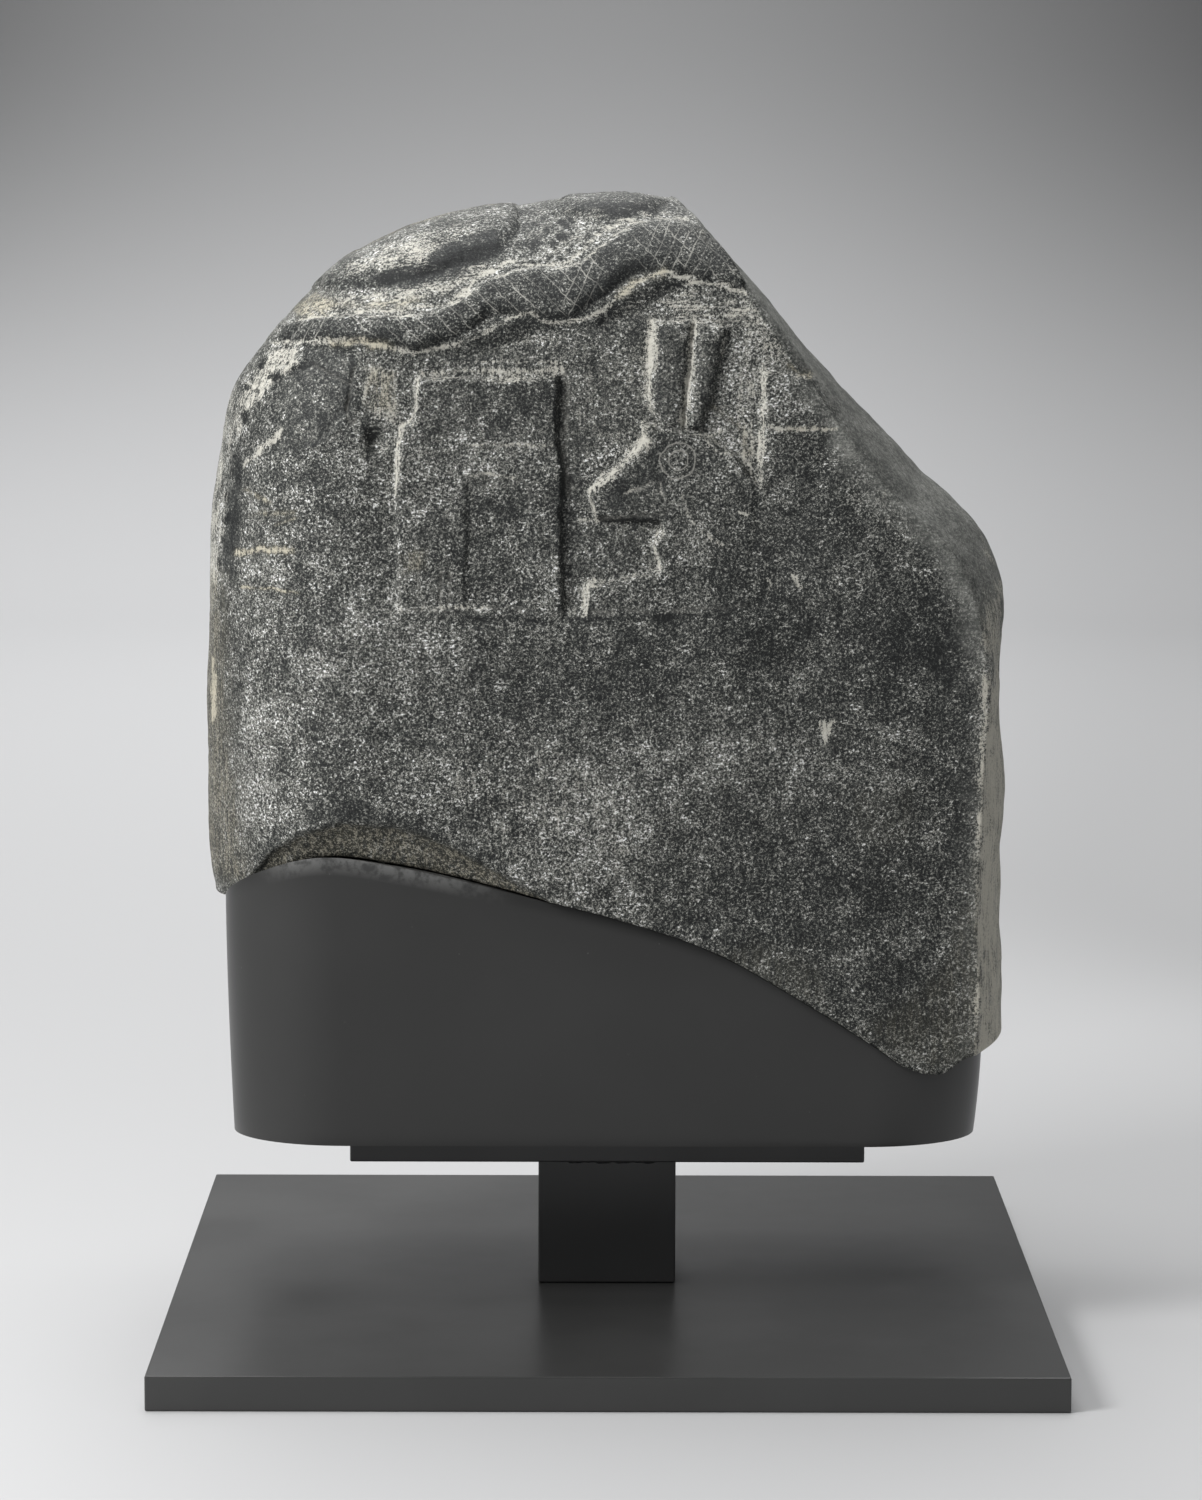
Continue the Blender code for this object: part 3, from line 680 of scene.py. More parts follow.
DOME_LEAF = [(13, 88.7), (21.5, 89.2), (27.4, 90.2), (33.7, 92.2), (36.8, 93.2), (38.6, 94.6), (39.2, 96.4),
             (38.6, 98.2), (33.3, 98.6), (24.8, 95.6), (17.4, 92.3)]
DOME_LEAF_RISE = 0.0036
DOME_LEAF_RIGHT = [(43, 97.2), (48.9, 96.6), (55, 97.4), (57.5, 98.9), (52, 99.9), (45, 99.4)]
DOME_LEAF_RIGHT_RISE = 0.0027
DOME_LEAF_RUN = 0.0110
SHOULDER_FLAKE = [(9.9, 79), (13.4, 80.8), (13.3, 82.4), (16, 82.9), (19.5, 82.5), (19.6, 80.5), (19, 78.4),
                  (19.1, 75.9), (15.6, 72), (9.4, 70.2), (9.1, 76.5)]
SHOULDER_FLAKE_DEPTH = 0.0011
SPALL = [(5.5, 20), (8.6, 24.4), (12.8, 27.2), (17.8, 28.9), (25, 28.6), (31, 26.4), (38.5, 22.5), (46, 18),
         (30, 12), (8, 12)]
SPALL_DEPTH = 0.0085
SPALL_RUN = 0.0160
PIT_CENTRE = (22.4, 72.2)
PIT_DEPTH = 0.0030
PIT_RADIUS = 0.0070
CARVED_WHERE_FACING = (-0.35, 0.20)
CARVED_OVER_BREAK = 0.05
SEAT_BAND = 0.04

# Cut lines: landmarks, half width and depth in millimetres
CUT_LINES = [
    ([(51.8, 66.1), (53.7, 66.7), (55.6, 67.4)], 0.55, 0.5),
    ([(56.3, 67.6), (56.5, 66.2), (56.7, 64.7)], 0.5, 0.4),
    ([(33.2, 71.6), (43.6, 71.6)], 0.55, 0.45),
    ([(33, 68.2), (36.4, 68.3), (39.3, 67.9), (40.2, 66.6), (40.6, 64)], 0.55, 0.5),
    ([(33.7, 67), (35.9, 67.2), (38.3, 67)], 0.4, 0.3),
    ([(53.9, 85.9), (58, 86.3), (61, 86.2), (64.6, 85.5)], 0.45, 0.35),
    ([(44.9, 79.3), (44.8, 71), (45.3, 66)], 1.9, 0.4),
    ([(68.9, 73.8), (73, 73.7), (77, 73.4)], 0.5, 0.45),
    ([(68.5, 80.3), (71.4, 79.9), (74.5, 79.3)], 0.5, 0.45),
    ([(68, 80.6), (67, 78), (65.9, 74.9)], 0.4, 0.3),
    ([(49.3, 63.6), (53.8, 63.8), (56.9, 64)], 0.8, 0.8),
    ([(19.5, 80.6), (18.9, 79.4), (19, 77.9), (18.6, 75.8), (19, 74.2), (20.1, 74.5)], 0.9, 0.9),
    ([(14.4, 80.6), (15.6, 80.1), (17.2, 79.3), (18.6, 78.5)], 0.7, 0.7),
    ([(16.2, 72), (17.6, 72.8), (18.6, 73.8)], 0.6, 0.4),
    ([(25, 57.6), (25, 53.7)], 0.7, 0.5),
    ([(27.2, 57.4), (27.2, 53.7)], 0.6, 0.45),
    ([(29.9, 57.4), (29.9, 53.7)], 0.9, 0.7),
    ([(31, 57.2), (31, 53.8)], 0.9, 0.7),
    ([(18.8, 43.4), (18.1, 42.6), (18, 41.9), (18.6, 41.2)], 0.7, 0.8),
    ([(77.5, 31.8), (78.7, 32.6), (79.8, 32.8)], 0.5, 0.4),
    ([(85, 36), (84.6, 34.4), (83.7, 33.1), (82.3, 30.6)], 0.6, 0.5),
    ([(24.8, 53.1), (34.7, 53.2), (47.1, 52.8), (56.2, 53.2), (66.5, 53.7)], 0.7, 0.55),
]
FALLING_SCALES = [(17.0, 50.0), (52.0, 66.0)]
RISING_SCALES = [(11.0, 17.5), (44.0, 49.5), (54.0, 63.0)]


def carving(x, z):
    """Height of the carved face above the stone's first surface, in metres."""
    share = share_at(x)
    field = ease(distance_inside(SUNK_FIELD, x, z), 0.0, FIELD_RUN) * ease(share, *FIELD_DEEPENS)
    figures = raised(SHRINE, SHRINE_RISE, x, z, CARVED_EDGE)
    figures -= raised(NICHE, NICHE_DEPTH, x, z, 1.4 * CARVED_EDGE)
    figures = np.maximum(figures, raised(ANIMAL_HEAD, HEAD_RISE, x, z, 1.3 * CARVED_EDGE))
    figures = np.maximum(figures, raised(THIRD_FIGURE, THIRD_FIGURE_RISE, x, z, CARVED_EDGE))
    for plume in (LEFT_PLUME, RIGHT_PLUME):
        figures = np.maximum(figures, rounded_raise(plume, PLUME_RISE, x, z, PLUME_RUN))
    height = field * (figures - FIELD_DEPTH)
    spine = up(curve_through(SNAKE_SPINE, share))
    half_width = PERCENT_UP * curve_through(SNAKE_HALF_WIDTH, share)
    band = np.clip(np.abs(z - spine) / half_width, 0, 1)
    on_snake = (share > SNAKE_SPINE[0][0]) & (share < SNAKE_SPINE[-1][0]) & (band < 1)
    rise = SNAKE_RISE * ease(share, *SNAKE_SWELLS)
    height = np.where(on_snake, np.maximum(height, rise * (1 - band ** 3) ** 0.8), height)
    height += rounded_raise(DOME_LEAF, DOME_LEAF_RISE, x, z, DOME_LEAF_RUN)
    height += rounded_raise(DOME_LEAF_RIGHT, DOME_LEAF_RIGHT_RISE, x, z, DOME_LEAF_RUN)
    height -= raised(SHOULDER_FLAKE, SHOULDER_FLAKE_DEPTH, x, z, CARVED_EDGE)
    pit = np.hypot(x - across(PIT_CENTRE[0]), z - up(PIT_CENTRE[1]))
    height -= PIT_DEPTH * (1 - ease(pit, 0.0, PIT_RADIUS))
    return height


def cut_lines(x, z):
    """Depth of the lines cut into the face, in metres, and how far each point lies in one, 0 to 1."""
    depth = np.zeros(x.shape)
    in_line = np.zeros(x.shape)
    for line, half_mm, depth_mm in CUT_LINES:
        half = half_mm / 1000
        f = np.clip(1 - distance_from(line, x, z, half) / half, 0, 1)
        depth = np.maximum(depth, depth_mm / 1000 * ease(f, 0, 1))
        in_line = np.maximum(in_line, f)
    return depth, in_line


def scaled(shares, x, z):
    """How far each point lies on the snake's body, between shares of the stone's width."""
    share = share_at(x)
    half_width = PERCENT_UP * curve_through(SNAKE_HALF_WIDTH, share)
    offset = np.abs(z - up(curve_through(SNAKE_SPINE, share))) / half_width - 0.12
    shown = [ease(share, first, first + 1.5) * ease(share, last, last - 1.5) for first, last in shares]
    return ease(offset, 0.95, 0.75) * np.maximum.reduce(shown)


WORN_BREAK_EDGE = 0.011
EDGE_PROBE = 0.0009
THINNING = (0.15, 0.5, 1.0)
SIDE_FACING = 0.3
WANDER_ACROSS = ((0.0007, 0.0065, 31), (0.0004, 0.0026, 37))
WANDER_UP = ((0.0007, 0.0065, 43), (0.0004, 0.0026, 47))
PATCHES = ((0.9, 0.0070, 53), (0.5, 0.0028, 59))
FINE_GRAIN = ((0.00010, 0.0045, 3), (0.00007, 0.0021, 5))
SPALL_FACING = (0.3 * HALF_DEPTH, 0.7 * HALF_DEPTH)
FRONT_FACING = (0.15, 0.5)
BACK_FACING = (0.15, 0.6)
BREAK_ROUGH = 0.85
BACK_ROUGH = 0.60
LIT_SLOPE = (0.5, 1.8)
LIT_PALE = 0.62
SHADED_SLOPE = (0.4, 1.8)
SHADED_DEEP = 1.5
POCK_ABOVE = 0.28
PIT_ABOVE = 0.42
PITS_DEEP = 0.0011

# Where the pale layer lies on the right flank, in shares and in metres from front to back, and where the
# left flank's rim and the edge of the break are rubbed
LAYER_ACROSS = (93.4, 96.0)
LAYER_UP = (66.0, 40.0)
LAYER_DEEP = (0.045, -0.055)
RIM_FACING = (0.88, 0.97)
RIM_FOOT = (50.0, 56.0)
RIM_TOP = (84.0, 78.0)
RUBBED_FOOT = (42.0, 52.0)
RUBBED_TOP = (84.0, 72.0)

# Colours on the face. A line has landmarks, a half width in millimetres and a strength, and a zone has
# an outline, the softness of its edge in millimetres and a strength. Pale and tan are wear and stains,
# and pale is also painted highlight on edges that face the key light. Dark is old polish, and deep is
# darker stone, cracks and hollows, and also painted shade beside and under the figures, on slopes that
# face away from the light and over the right part of the face.
DOME_SHADOW = [(21.6, 89.6), (26, 91.2), (31.5, 93.2), (36.4, 94.6), (37.2, 93.2), (34.4, 91.4),
               (29.5, 89.6), (24.8, 88.9)]
PITTED_ZONES = [
    ([(39.2, 97.1), (42.6, 97.7), (48.9, 96.4), (49.4, 95), (46, 92.5), (41.8, 91.8), (38.4, 92),
      (38.8, 94.4)], 3, 0.3),
    ([(8.2, 81.9), (12.6, 82.6), (12.6, 80.5), (9, 77.7), (5.5, 73.5), (3.9, 67.8), (3, 59.8), (1.8, 53.8),
      (-1, 53), (-1, 67.2), (1.3, 76.4)], 3.5, 0.8),
]
# Many of these run along the upper and left edges of the figures, which face the key light: there the pale
# is partly wear and partly painted highlight.
PALE_LINES = [
    ([(27.5, 79.7), (34, 80), (44.2, 79.9)], 1.5, 0.85),
    ([(30, 81), (38, 81.2), (44, 80.8)], 0.8, 0.6),
    ([(39.2, 97.4), (41, 98.4), (45, 99.2), (50, 99.6)], 0.9, 0.7),
    ([(53, 98.2), (58, 97.6)], 0.8, 0.6),
    ([(8.1, 82.6), (14.8, 83), (19.1, 83.4), (23.5, 82.6), (27.6, 82.3), (31.7, 83.1), (35, 84.2),
      (38.4, 86), (40.4, 86.6), (42.4, 85.8), (44.9, 85.4), (48.1, 86.4), (50.6, 87.9), (53.5, 89.8),
      (56.4, 90.8), (59.6, 90.3), (63.2, 89.7), (66.4, 89)], 0.95, 0.9),
    ([(9.7, 85), (15.5, 85.8), (19, 86.2), (23.4, 86.5), (27.5, 86.9), (30.4, 87.1), (32.5, 88.7),
      (34.9, 90.5), (37.8, 91.9), (42, 91.6), (45.2, 92.1), (47.3, 93.8), (49.8, 95.5), (52.3, 96.5),
      (55.5, 97.1), (59.6, 96.7)], 0.95, 0.9),
    ([(27, 79), (27, 75.5), (26.6, 74.5), (25.2, 73.5), (24.9, 70), (24.5, 66)], 1.3, 0.8),
    ([(55.3, 85.7), (54.9, 80.5), (54.8, 75.9)], 2.1, 0.95),
    ([(60.2, 85.7), (59.8, 80.2), (58.8, 74)], 1.7, 1),
    ([(64.3, 85.3), (63.6, 82)], 0.9, 0.5),
    ([(54.4, 72.2), (51.2, 69.4), (47.8, 66.6)], 2, 1),
    ([(47.8, 66.4), (48.4, 64), (49.2, 63.2)], 0.8, 0.7),
    ([(68.6, 79.9), (68.3, 74), (68.1, 67.9)], 1.6, 0.95),
    ([(66, 70.8), (67, 69.2), (67.9, 67.5)], 1.5, 0.8),
    ([(46.3, 63.4), (49, 63.2)], 0.6, 0.7),
    ([(55.1, 57.2), (50.7, 56.4), (48.1, 56.2), (47.5, 55.4), (47.2, 52.6)], 1, 0.75),
    ([(56.5, 62.2), (55.4, 60.8), (55.8, 58.8), (56.5, 57.5)], 1.1, 0.65),
    ([(54, 73.8), (57.1, 73.2), (60.8, 72.6), (62.8, 71.1), (64.9, 70.7)], 0.7, 0.55),
    ([(53.9, 75.8), (55.9, 75.3), (56.3, 74.2)], 0.9, 0.6),
    ([(61.5, 72.7), (62.6, 72.8), (63.7, 73.3)], 0.9, 0.85),
    ([(49.8, 96.9), (44, 97.4), (41, 97.8)], 1.2, 0.6),
    ([(51.8, 66.2), (53.7, 66.8), (55.6, 67.5)], 0.5, 0.7),
    ([(56.4, 67.6), (56.7, 64.7)], 0.5, 0.6),
    ([(33.2, 71.7), (43.4, 71.7)], 0.5, 0.7),
    ([(33.2, 68.3), (36.4, 68.4), (39.1, 68)], 0.6, 0.7),
    ([(54.3, 85.9), (60.8, 86.3), (64.4, 85.6)], 0.5, 0.6),
    ([(24.8, 53.2), (30, 53.4), (36, 53.3)], 0.9, 0.7),
    ([(5.5, 68.7), (8.1, 70.9), (9.4, 72), (10.1, 73.4)], 1.3, 0.9),
    ([(68.8, 73.8), (77, 73.5)], 0.8, 0.95),
    ([(69, 58.1), (69.3, 54.4)], 0.6, 0.8),
    ([(59, 66), (60.2, 63.2), (62.4, 61.4), (64.4, 60.2)], 0.8, 0.7),
    ([(56, 88), (61, 87.6), (68, 87.2)], 1.2, 0.6),
    ([(70.4, 82), (73.5, 80.8), (76, 79.6)], 1.6, 0.7),
]
TAN_LINES = [
    ([(4.8, 58.6), (7.9, 59.4), (11.6, 59.6)], 1.5, 1),
    ([(5.4, 54.8), (9.2, 55), (12.7, 54.7)], 0.8, 1),
    ([(5.9, 66), (7.7, 65.3), (9.1, 64.9)], 1.2, 0.8),
    ([(6.3, 63.1), (9.9, 63.8), (12.4, 64)], 1.3, 0.6),
    ([(9.5, 62.5), (13, 63.5)], 0.7, 0.6),
    ([(17, 83), (20, 83.3), (24, 82.6)], 1.5, 0.9),
    ([(21, 82.4), (22.4, 82.8)], 0.8, 0.9),
    ([(51, 88.4), (53.5, 90), (56.4, 90.8)], 1.6, 0.8),
    ([(12, 86.4), (20, 87), (28, 87.5)], 1.6, 0.6),
    ([(71, 80.6), (74.2, 79.6)], 1.5, 0.9),
    ([(62.5, 76), (65.5, 73.9), (66.5, 71)], 1.3, 0.6),
    ([(71.4, 73.8), (77, 73.5)], 0.8, 0.6),
]
PALE_ZONES = [
    *PITTED_ZONES,
    ([(13.5, 90.4), (20, 92.6), (28, 94.6), (36, 96), (38.6, 97.8), (30, 98.8), (17, 94)], 3, 0.95),
    ([(13.5, 88.9), (20, 89.6), (28, 90.6), (33, 93.6), (38.3, 96.8), (33.3, 97.3), (24.8, 95.2),
      (17.4, 92.1)], 5, 0.68),
    ([(10.6, 85.6), (14.2, 88.5), (19.8, 88.4), (27.3, 89.4), (33.3, 91.6), (36.5, 92.6), (34.6, 90.8),
      (29.8, 88), (25, 87), (16.1, 86)], 3, 0.6),
    ([(40.5, 85.2), (46, 84.4), (54, 88.6), (54.4, 73), (46, 70), (45.2, 80.5), (30, 81.5), (31, 83)],
      7, 0.36),
    ([(59, 90.2), (68, 88), (73, 81), (69, 79.5), (68, 69), (65, 72), (65.5, 85), (56, 86.6)], 5, 0.45),
    ([(20.4, 80.6), (24.8, 80.5), (25.3, 73.5), (22, 74.6), (20.3, 76.5)], 3, 0.5),
    (SHOULDER_FLAKE, 3, 0.3),
    ([(55.4, 86), (54.8, 75.4), (58.6, 74), (64.6, 85.4)], 3, 0.22),
    ([(28.6, 36.1), (44.3, 38.4), (54.5, 31.3), (54.3, 22.2), (44.3, 20.2), (34.7, 24.6)], 14, 0.26),
    ([(6, 43), (13, 44), (16, 34), (11, 30), (6, 34)], 8, 0.16),
    ([(76.8, 70), (86, 66), (83, 60), (78, 65)], 5, 0.24),
    ([(75.2, 40.6), (77.3, 40.5), (76.3, 38)], 0.8, 1),
    ([(71.8, 57.4), (72.6, 57.2), (73.4, 55.6), (72.5, 56)], 0.8, 1),
    ([(65.4, 64.3), (67.1, 64.1), (66.4, 63.6)], 0.8, 0.9),
]
TAN_ZONES = [
    ([(10.4, 86.6), (14.2, 88.6), (18, 87.6), (16, 86), (12, 85.6)], 3, 0.62),
    ([(16, 91), (24.8, 94.2), (33.3, 96.4), (38.3, 97.2), (33, 97.9), (17, 92.3)], 2.5, 0.55),
    ([(20.6, 80.6), (24.6, 80.2), (24.6, 75.5), (21, 75.5)], 5, 0.5),
    ([(24.9, 59.7), (28.7, 60.2), (28.2, 57.4), (25.4, 57)], 4, 0.5),
    ([(-8, 54), (3.5, 56), (4, 44), (4.4, 36), (7, 20), (-8, 18)], 15, 0.52),
    ([(0.9, 46.4), (1.5, 45.8), (1.8, 42.3), (1.6, 37.4), (1.1, 39), (0.9, 42)], 1, 1),
    (SPALL, 3, 0.52),
    ([(79.2, 32.6), (87.3, 33.6), (87.3, 26.1), (79.3, 26)], 9, 0.25),
    ([(61.3, 13.2), (68.5, 15.5), (75.8, 12.9), (77.1, 7.5), (68.6, 9.8)], 8, 0.3),
    ([(88.5, 0), (96, 2), (96, 30), (90, 12), (80.7, 5.2)], 10, 0.35),
    ([(60, 95), (61.2, 96.1), (62, 93)], 2, 0.3),
]
# Some dark lines are painted shadow: down the right side of the shrine and beside the niche, under the
# animal's jaw, along the foot of the figures and under the spall's upper edge. The others are cracks and
# hollows.
DARK_AND_SHADOW_LINES = [
    ([(13.4, 81.3), (15.2, 80.4), (17.2, 79.5), (18.6, 78.5)], 0.8, 2.2),
    ([(19, 82), (18.9, 79.4), (19, 77.9), (18.4, 75.8), (19, 74)], 1.1, 2),
    ([(20.8, 73.9), (21.6, 72.2), (21.2, 70.4)], 1.5, 2.2),
    ([(44.3, 79), (44.2, 71), (44.6, 66.4)], 1.1, 1.3),
    ([(44.8, 66.4), (44.8, 52.6)], 1.1, 0.5),
    ([(32.8, 65), (32.8, 52.8)], 1.1, 1.3),
    ([(40.4, 66.4), (40.4, 53)], 1, 1.3),
    ([(28, 62), (28.2, 54)], 1, 0.9),
    ([(49, 63.4), (53, 63.3), (56.6, 63.8)], 1.7, 2.4),
    ([(70.4, 81), (68.8, 78), (67.1, 74.9)], 0.7, 1.8),
    ([(71.5, 84.8), (73.5, 82.1)], 0.8, 1.8),
    ([(33, 52.2), (47.2, 52), (56.2, 52.5), (66.5, 52.9)], 1.4, 2.6),
    ([(48, 53.4), (47.4, 52.2), (45.6, 50.9), (44.6, 49.4)], 1, 2.4),
    ([(7.6, 24), (9.4, 26.6), (12.8, 28.6), (17.8, 29.8), (24, 29.2), (30, 27.2)], 1.3, 1),
    ([(18.8, 43.4), (18, 42.2), (18.4, 41)], 0.8, 2.2),
]
DARK_ZONES = [
    ([(43.6, 84), (54, 87), (54, 75), (47, 70), (46, 56), (45.4, 56), (44.8, 80), (28, 81), (28, 82)],
      6, 0.55),
    (DOME_SHADOW, 3, 0.6),
    ([(42.9, 97.4), (48.9, 97), (55, 97.8), (57.3, 99.4), (44, 99.6)], 2.5, 0.35),
    ([(9.9, 79), (13.6, 80.9), (13.2, 82.5), (19.6, 82.6), (19.2, 76), (15.6, 72), (9.2, 70.2)], 2, 0.75),
    ([(3.6, 71), (5.4, 69), (4.6, 56), (2.6, 56), (3, 66)], 2.5, 0.95),
    ([(28.2, 78.4), (43.3, 78.4), (43.2, 72.6), (28.4, 72.6)], 4, 0.4),
    ([(49.4, 66), (54.6, 71.2), (57, 72.4), (57, 64.8), (50, 64.2)], 2, 0.75),
    ([(55.8, 85), (55.6, 76), (58.2, 74.5), (58.8, 85)], 2.5, 0.75),
    ([(61, 85), (60, 75), (61.5, 75), (63.4, 84)], 2.5, 0.75),
    ([(48, 62.4), (55.6, 62.4), (55, 58.4), (48, 57.4)], 4, 0.3),
    ([(23, 73.6), (22, 71), (21.4, 72), (22, 74)], 1.5, 0.8),
    ([(3, 61), (9, 61), (9, 57), (3, 57)], 4, 0.5),
    ([(88, 57), (94, 50), (94, 10), (91, 24), (90, 40)], 5, 0.35),
]
DEEP_AND_SHADE_ZONES = [
    (ANIMAL_HEAD, 2, 0.4),
    (SHRINE, 2, 0.08),
    (SPALL, 4, 0.7),
    ([(27.4, 78.8), (43.7, 78.8), (43.4, 71.8), (27.2, 72.2)], 2, 0.28),
    (DOME_SHADOW, 2.5, 1),
    ([(43.5, 97.4), (48.9, 96.8), (56, 97.2), (59.5, 99.6), (44, 101)], 2.5, 2.4),
    ([(8, 83), (24, 83.4), (30, 84), (36, 87), (42, 87.4), (47, 87.6), (55, 91.4), (66, 90.4), (66, 94.6),
      (56, 96), (50, 94.6), (45, 91), (38, 90.6), (30, 86), (10, 85)], 4, 1.05),
    # Broad painted shade: the middle and right of the face below the figures are darker, where the key light
    # falls off.
    ([(34, 52), (66, 52), (94, 54), (93, 38), (60, 39), (36, 40)], 26, 0.9),
    ([(62, 66), (80, 66), (94, 52), (93, 44), (60, 45)], 22, 1.1),
    ([(60, 34), (94, 36), (94, 1), (86, 1), (58, 12)], 30, 0.62),
    ([(76, 24), (93, 26), (93, 4), (84, 4), (70, 12)], 20, 1),
    ([(32, 67), (41, 67), (41, 53), (32, 53)], 6, 0.65),
    ([(49.4, 66), (54.6, 71.2), (63, 71), (64, 60), (57, 59), (57, 63)], 5, 0.65),
    ([(3.6, 71), (6.4, 70), (5.6, 56), (2.6, 56), (2.6, 66)], 4, 0.8),
    ([(66.5, 72), (80, 74), (84, 66), (68, 62)], 12, 0.5),
]


def drawn(lines, x, z, patchy):
    """Strength of the nearest of a set of lines, softened across its width and worn in patches."""
    strength = np.zeros(x.shape)
    for line, half_mm, full in lines:
        half = half_mm / 1000 * (1.2 + 0.8 * patchy)
        f = np.clip(1 - distance_from(line, x, z, half.max()) / half, 0, 1)
        strength = np.maximum(strength, full * f * (0.70 + 0.30 * patchy))
    return strength


def washed(zones, x, z):
    """Strength of a set of soft-edged zones."""
    strength = np.zeros(x.shape)
    for zone, edge_mm, full in zones:
        edge = edge_mm / 1000
        strength = np.maximum(strength, full * ease(distance_inside(zone, x, z), -edge / 2, edge / 2))
    return strength


cells, faces = block_skin()
places = flaked(stone_surface(cells))
spalled = np.sqrt(np.clip(distance_inside(SPALL, places[:, 0], places[:, 2]) / SPALL_RUN, 0, 1))
places[:, 1] += SPALL_DEPTH * spalled * ease(-places[:, 1], *SPALL_FACING)
seated = cells[:, 1] == 0
places[seated, 2] = underside(places[seated, 0], places[seated, 1])
normals = point_normals(places, faces)
x, y, z = places.T
above_seat = ease(cells[:, 1], 0.0, SEAT_BAND)
on_break = cells[:, 0] == 1
carved = ease(-normals[:, 1], *CARVED_WHERE_FACING)
carved[on_break] *= 1 - ease(cells[on_break, 2], 0.0, CARVED_OVER_BREAK)
in_front = ease(-normals[:, 1], *FRONT_FACING) * ~(on_break & (cells[:, 2] > 0))
broken = np.where(on_break, ease(cells[:, 2], 0.0, 0.04), 0.0)
broken = np.maximum(BREAK_ROUGH * broken, BACK_ROUGH * ease(normals[:, 1], *BACK_FACING))

# The carving and the lines cut into it; worn edges wander a little
x = x + layered(places, WANDER_ACROSS)
z = z + layered(places, WANDER_UP)
patchy = np.clip(0.5 + layered(places, PATCHES), 0, 1)
form = carving(x, z)
line_depth, in_line = cut_lines(x, z)
# Painted light from the carving's slope: edges that face the key light at the upper left are painted pale as
# a highlight, and those that face away are painted darker as shade.
lean = (carving(x + EDGE_PROBE, z - EDGE_PROBE) - carving(x - EDGE_PROBE, z + EDGE_PROBE)) / EDGE_PROBE
deep = np.maximum(washed(DEEP_AND_SHADE_ZONES, x, z), drawn(DARK_AND_SHADOW_LINES, x, z, patchy)) * in_front
pale = washed(PALE_ZONES, x, z) * in_front * (0.55 + 0.45 * patchy)
dark = washed(DARK_ZONES, x, z) * in_front
lit = ease(lean, *LIT_SLOPE) * (0.45 + 0.55 * patchy)
lit *= ease(x + 0.5 * z, across(24.0) + 0.5 * up(56.0), across(28.0) + 0.5 * up(66.0))
pale = np.maximum(pale, LIT_PALE * lit * in_front)
deep += SHADED_DEEP * ease(-lean, *SHADED_SLOPE) * in_front
pitted = np.minimum(3 * washed(PITTED_ZONES, x, z), 1) * in_front
pocked = 5.0 * pitted * np.clip(grain(places, 0.0023, 61) - POCK_ABOVE, 0, 1)
pale *= (1 - np.clip(pocked, 0, 1)) * (1 - 0.6 * dark)
deep += 2.0 * pocked
height = carved * (form - line_depth)

# Grain of the surface: fine and even on worn parts, coarse and streaked on the breaks
height += weathering(places)
fine = layered(places, FINE_GRAIN) * (1 - 0.7 * dark)
pits = PITS_DEEP * np.clip(grain(places, 0.0030, 11) - PIT_ABOVE, 0, 1)
pits *= (0.35 + 0.8 * pitted) * (1 - 0.9 * dark)
rough = 0.00055 * grain(places, 0.011, 17) + 0.00035 * grain(places, 0.0048, 23, (1, 1, 2.2))
rough += 0.0007 * np.abs(grain(places, 0.019, 29))
height += (1 - broken) * (fine - pits) + broken * (rough + fine)
height *= above_seat
places = places + normals * height[:, None]
places[:, 2] = np.minimum(places[:, 2], cad_box[1][2])

# What the finish follows: pale and tan wear, with painted highlight in the pale, a pale layer low on the
# right flank, the rubbed rim of the left flank and edge of the break, and the dust in cut lines
pale = np.maximum(pale, drawn(PALE_LINES, x, z, patchy) * in_front)
tan = np.maximum(washed(TAN_ZONES, x, z), drawn(TAN_LINES, x, z, patchy)) * ease(-normals[:, 1], -0.3, 0.1)
layer = ease_across(x, *LAYER_ACROSS) * ease_up(z + 0.06 * (patchy - 0.5), *LAYER_UP)
layer *= ease(y + 0.05 * (patchy - 0.5), *LAYER_DEEP)
tan = np.maximum(tan, 0.36 * layer)
pale = np.maximum(pale, layer * (0.62 + 0.50 * patchy))
rim = ease(-normals[:, 0], *RIM_FACING) * ease_up(z, *RIM_FOOT) * ease_up(z, *RIM_TOP)
pale = np.maximum(pale, rim * (0.25 + 0.40 * patchy))
edge = distance_from(RIGHT_FRONT_EDGE, x, z, WORN_BREAK_EDGE) + 0.004 * (patchy - 0.5)
worn_edge = ease(edge, WORN_BREAK_EDGE, 0.0)
worn_edge *= (0.4 + 0.6 * ease_up(z, *RUBBED_FOOT)) * ease_up(z, *RUBBED_TOP)
traces = {
    "pale": pale,
    "tan": tan,
    "dark": dark,
    "deep": deep,
    "broken": np.maximum(broken, 0.8 * worn_edge),
    "dust": 0.5 * in_line * in_front * (0.5 + 0.5 * patchy),
    "falling": scaled(FALLING_SCALES, x, z) * in_front,
    "rising": scaled(RISING_SCALES, x, z) * in_front,
}

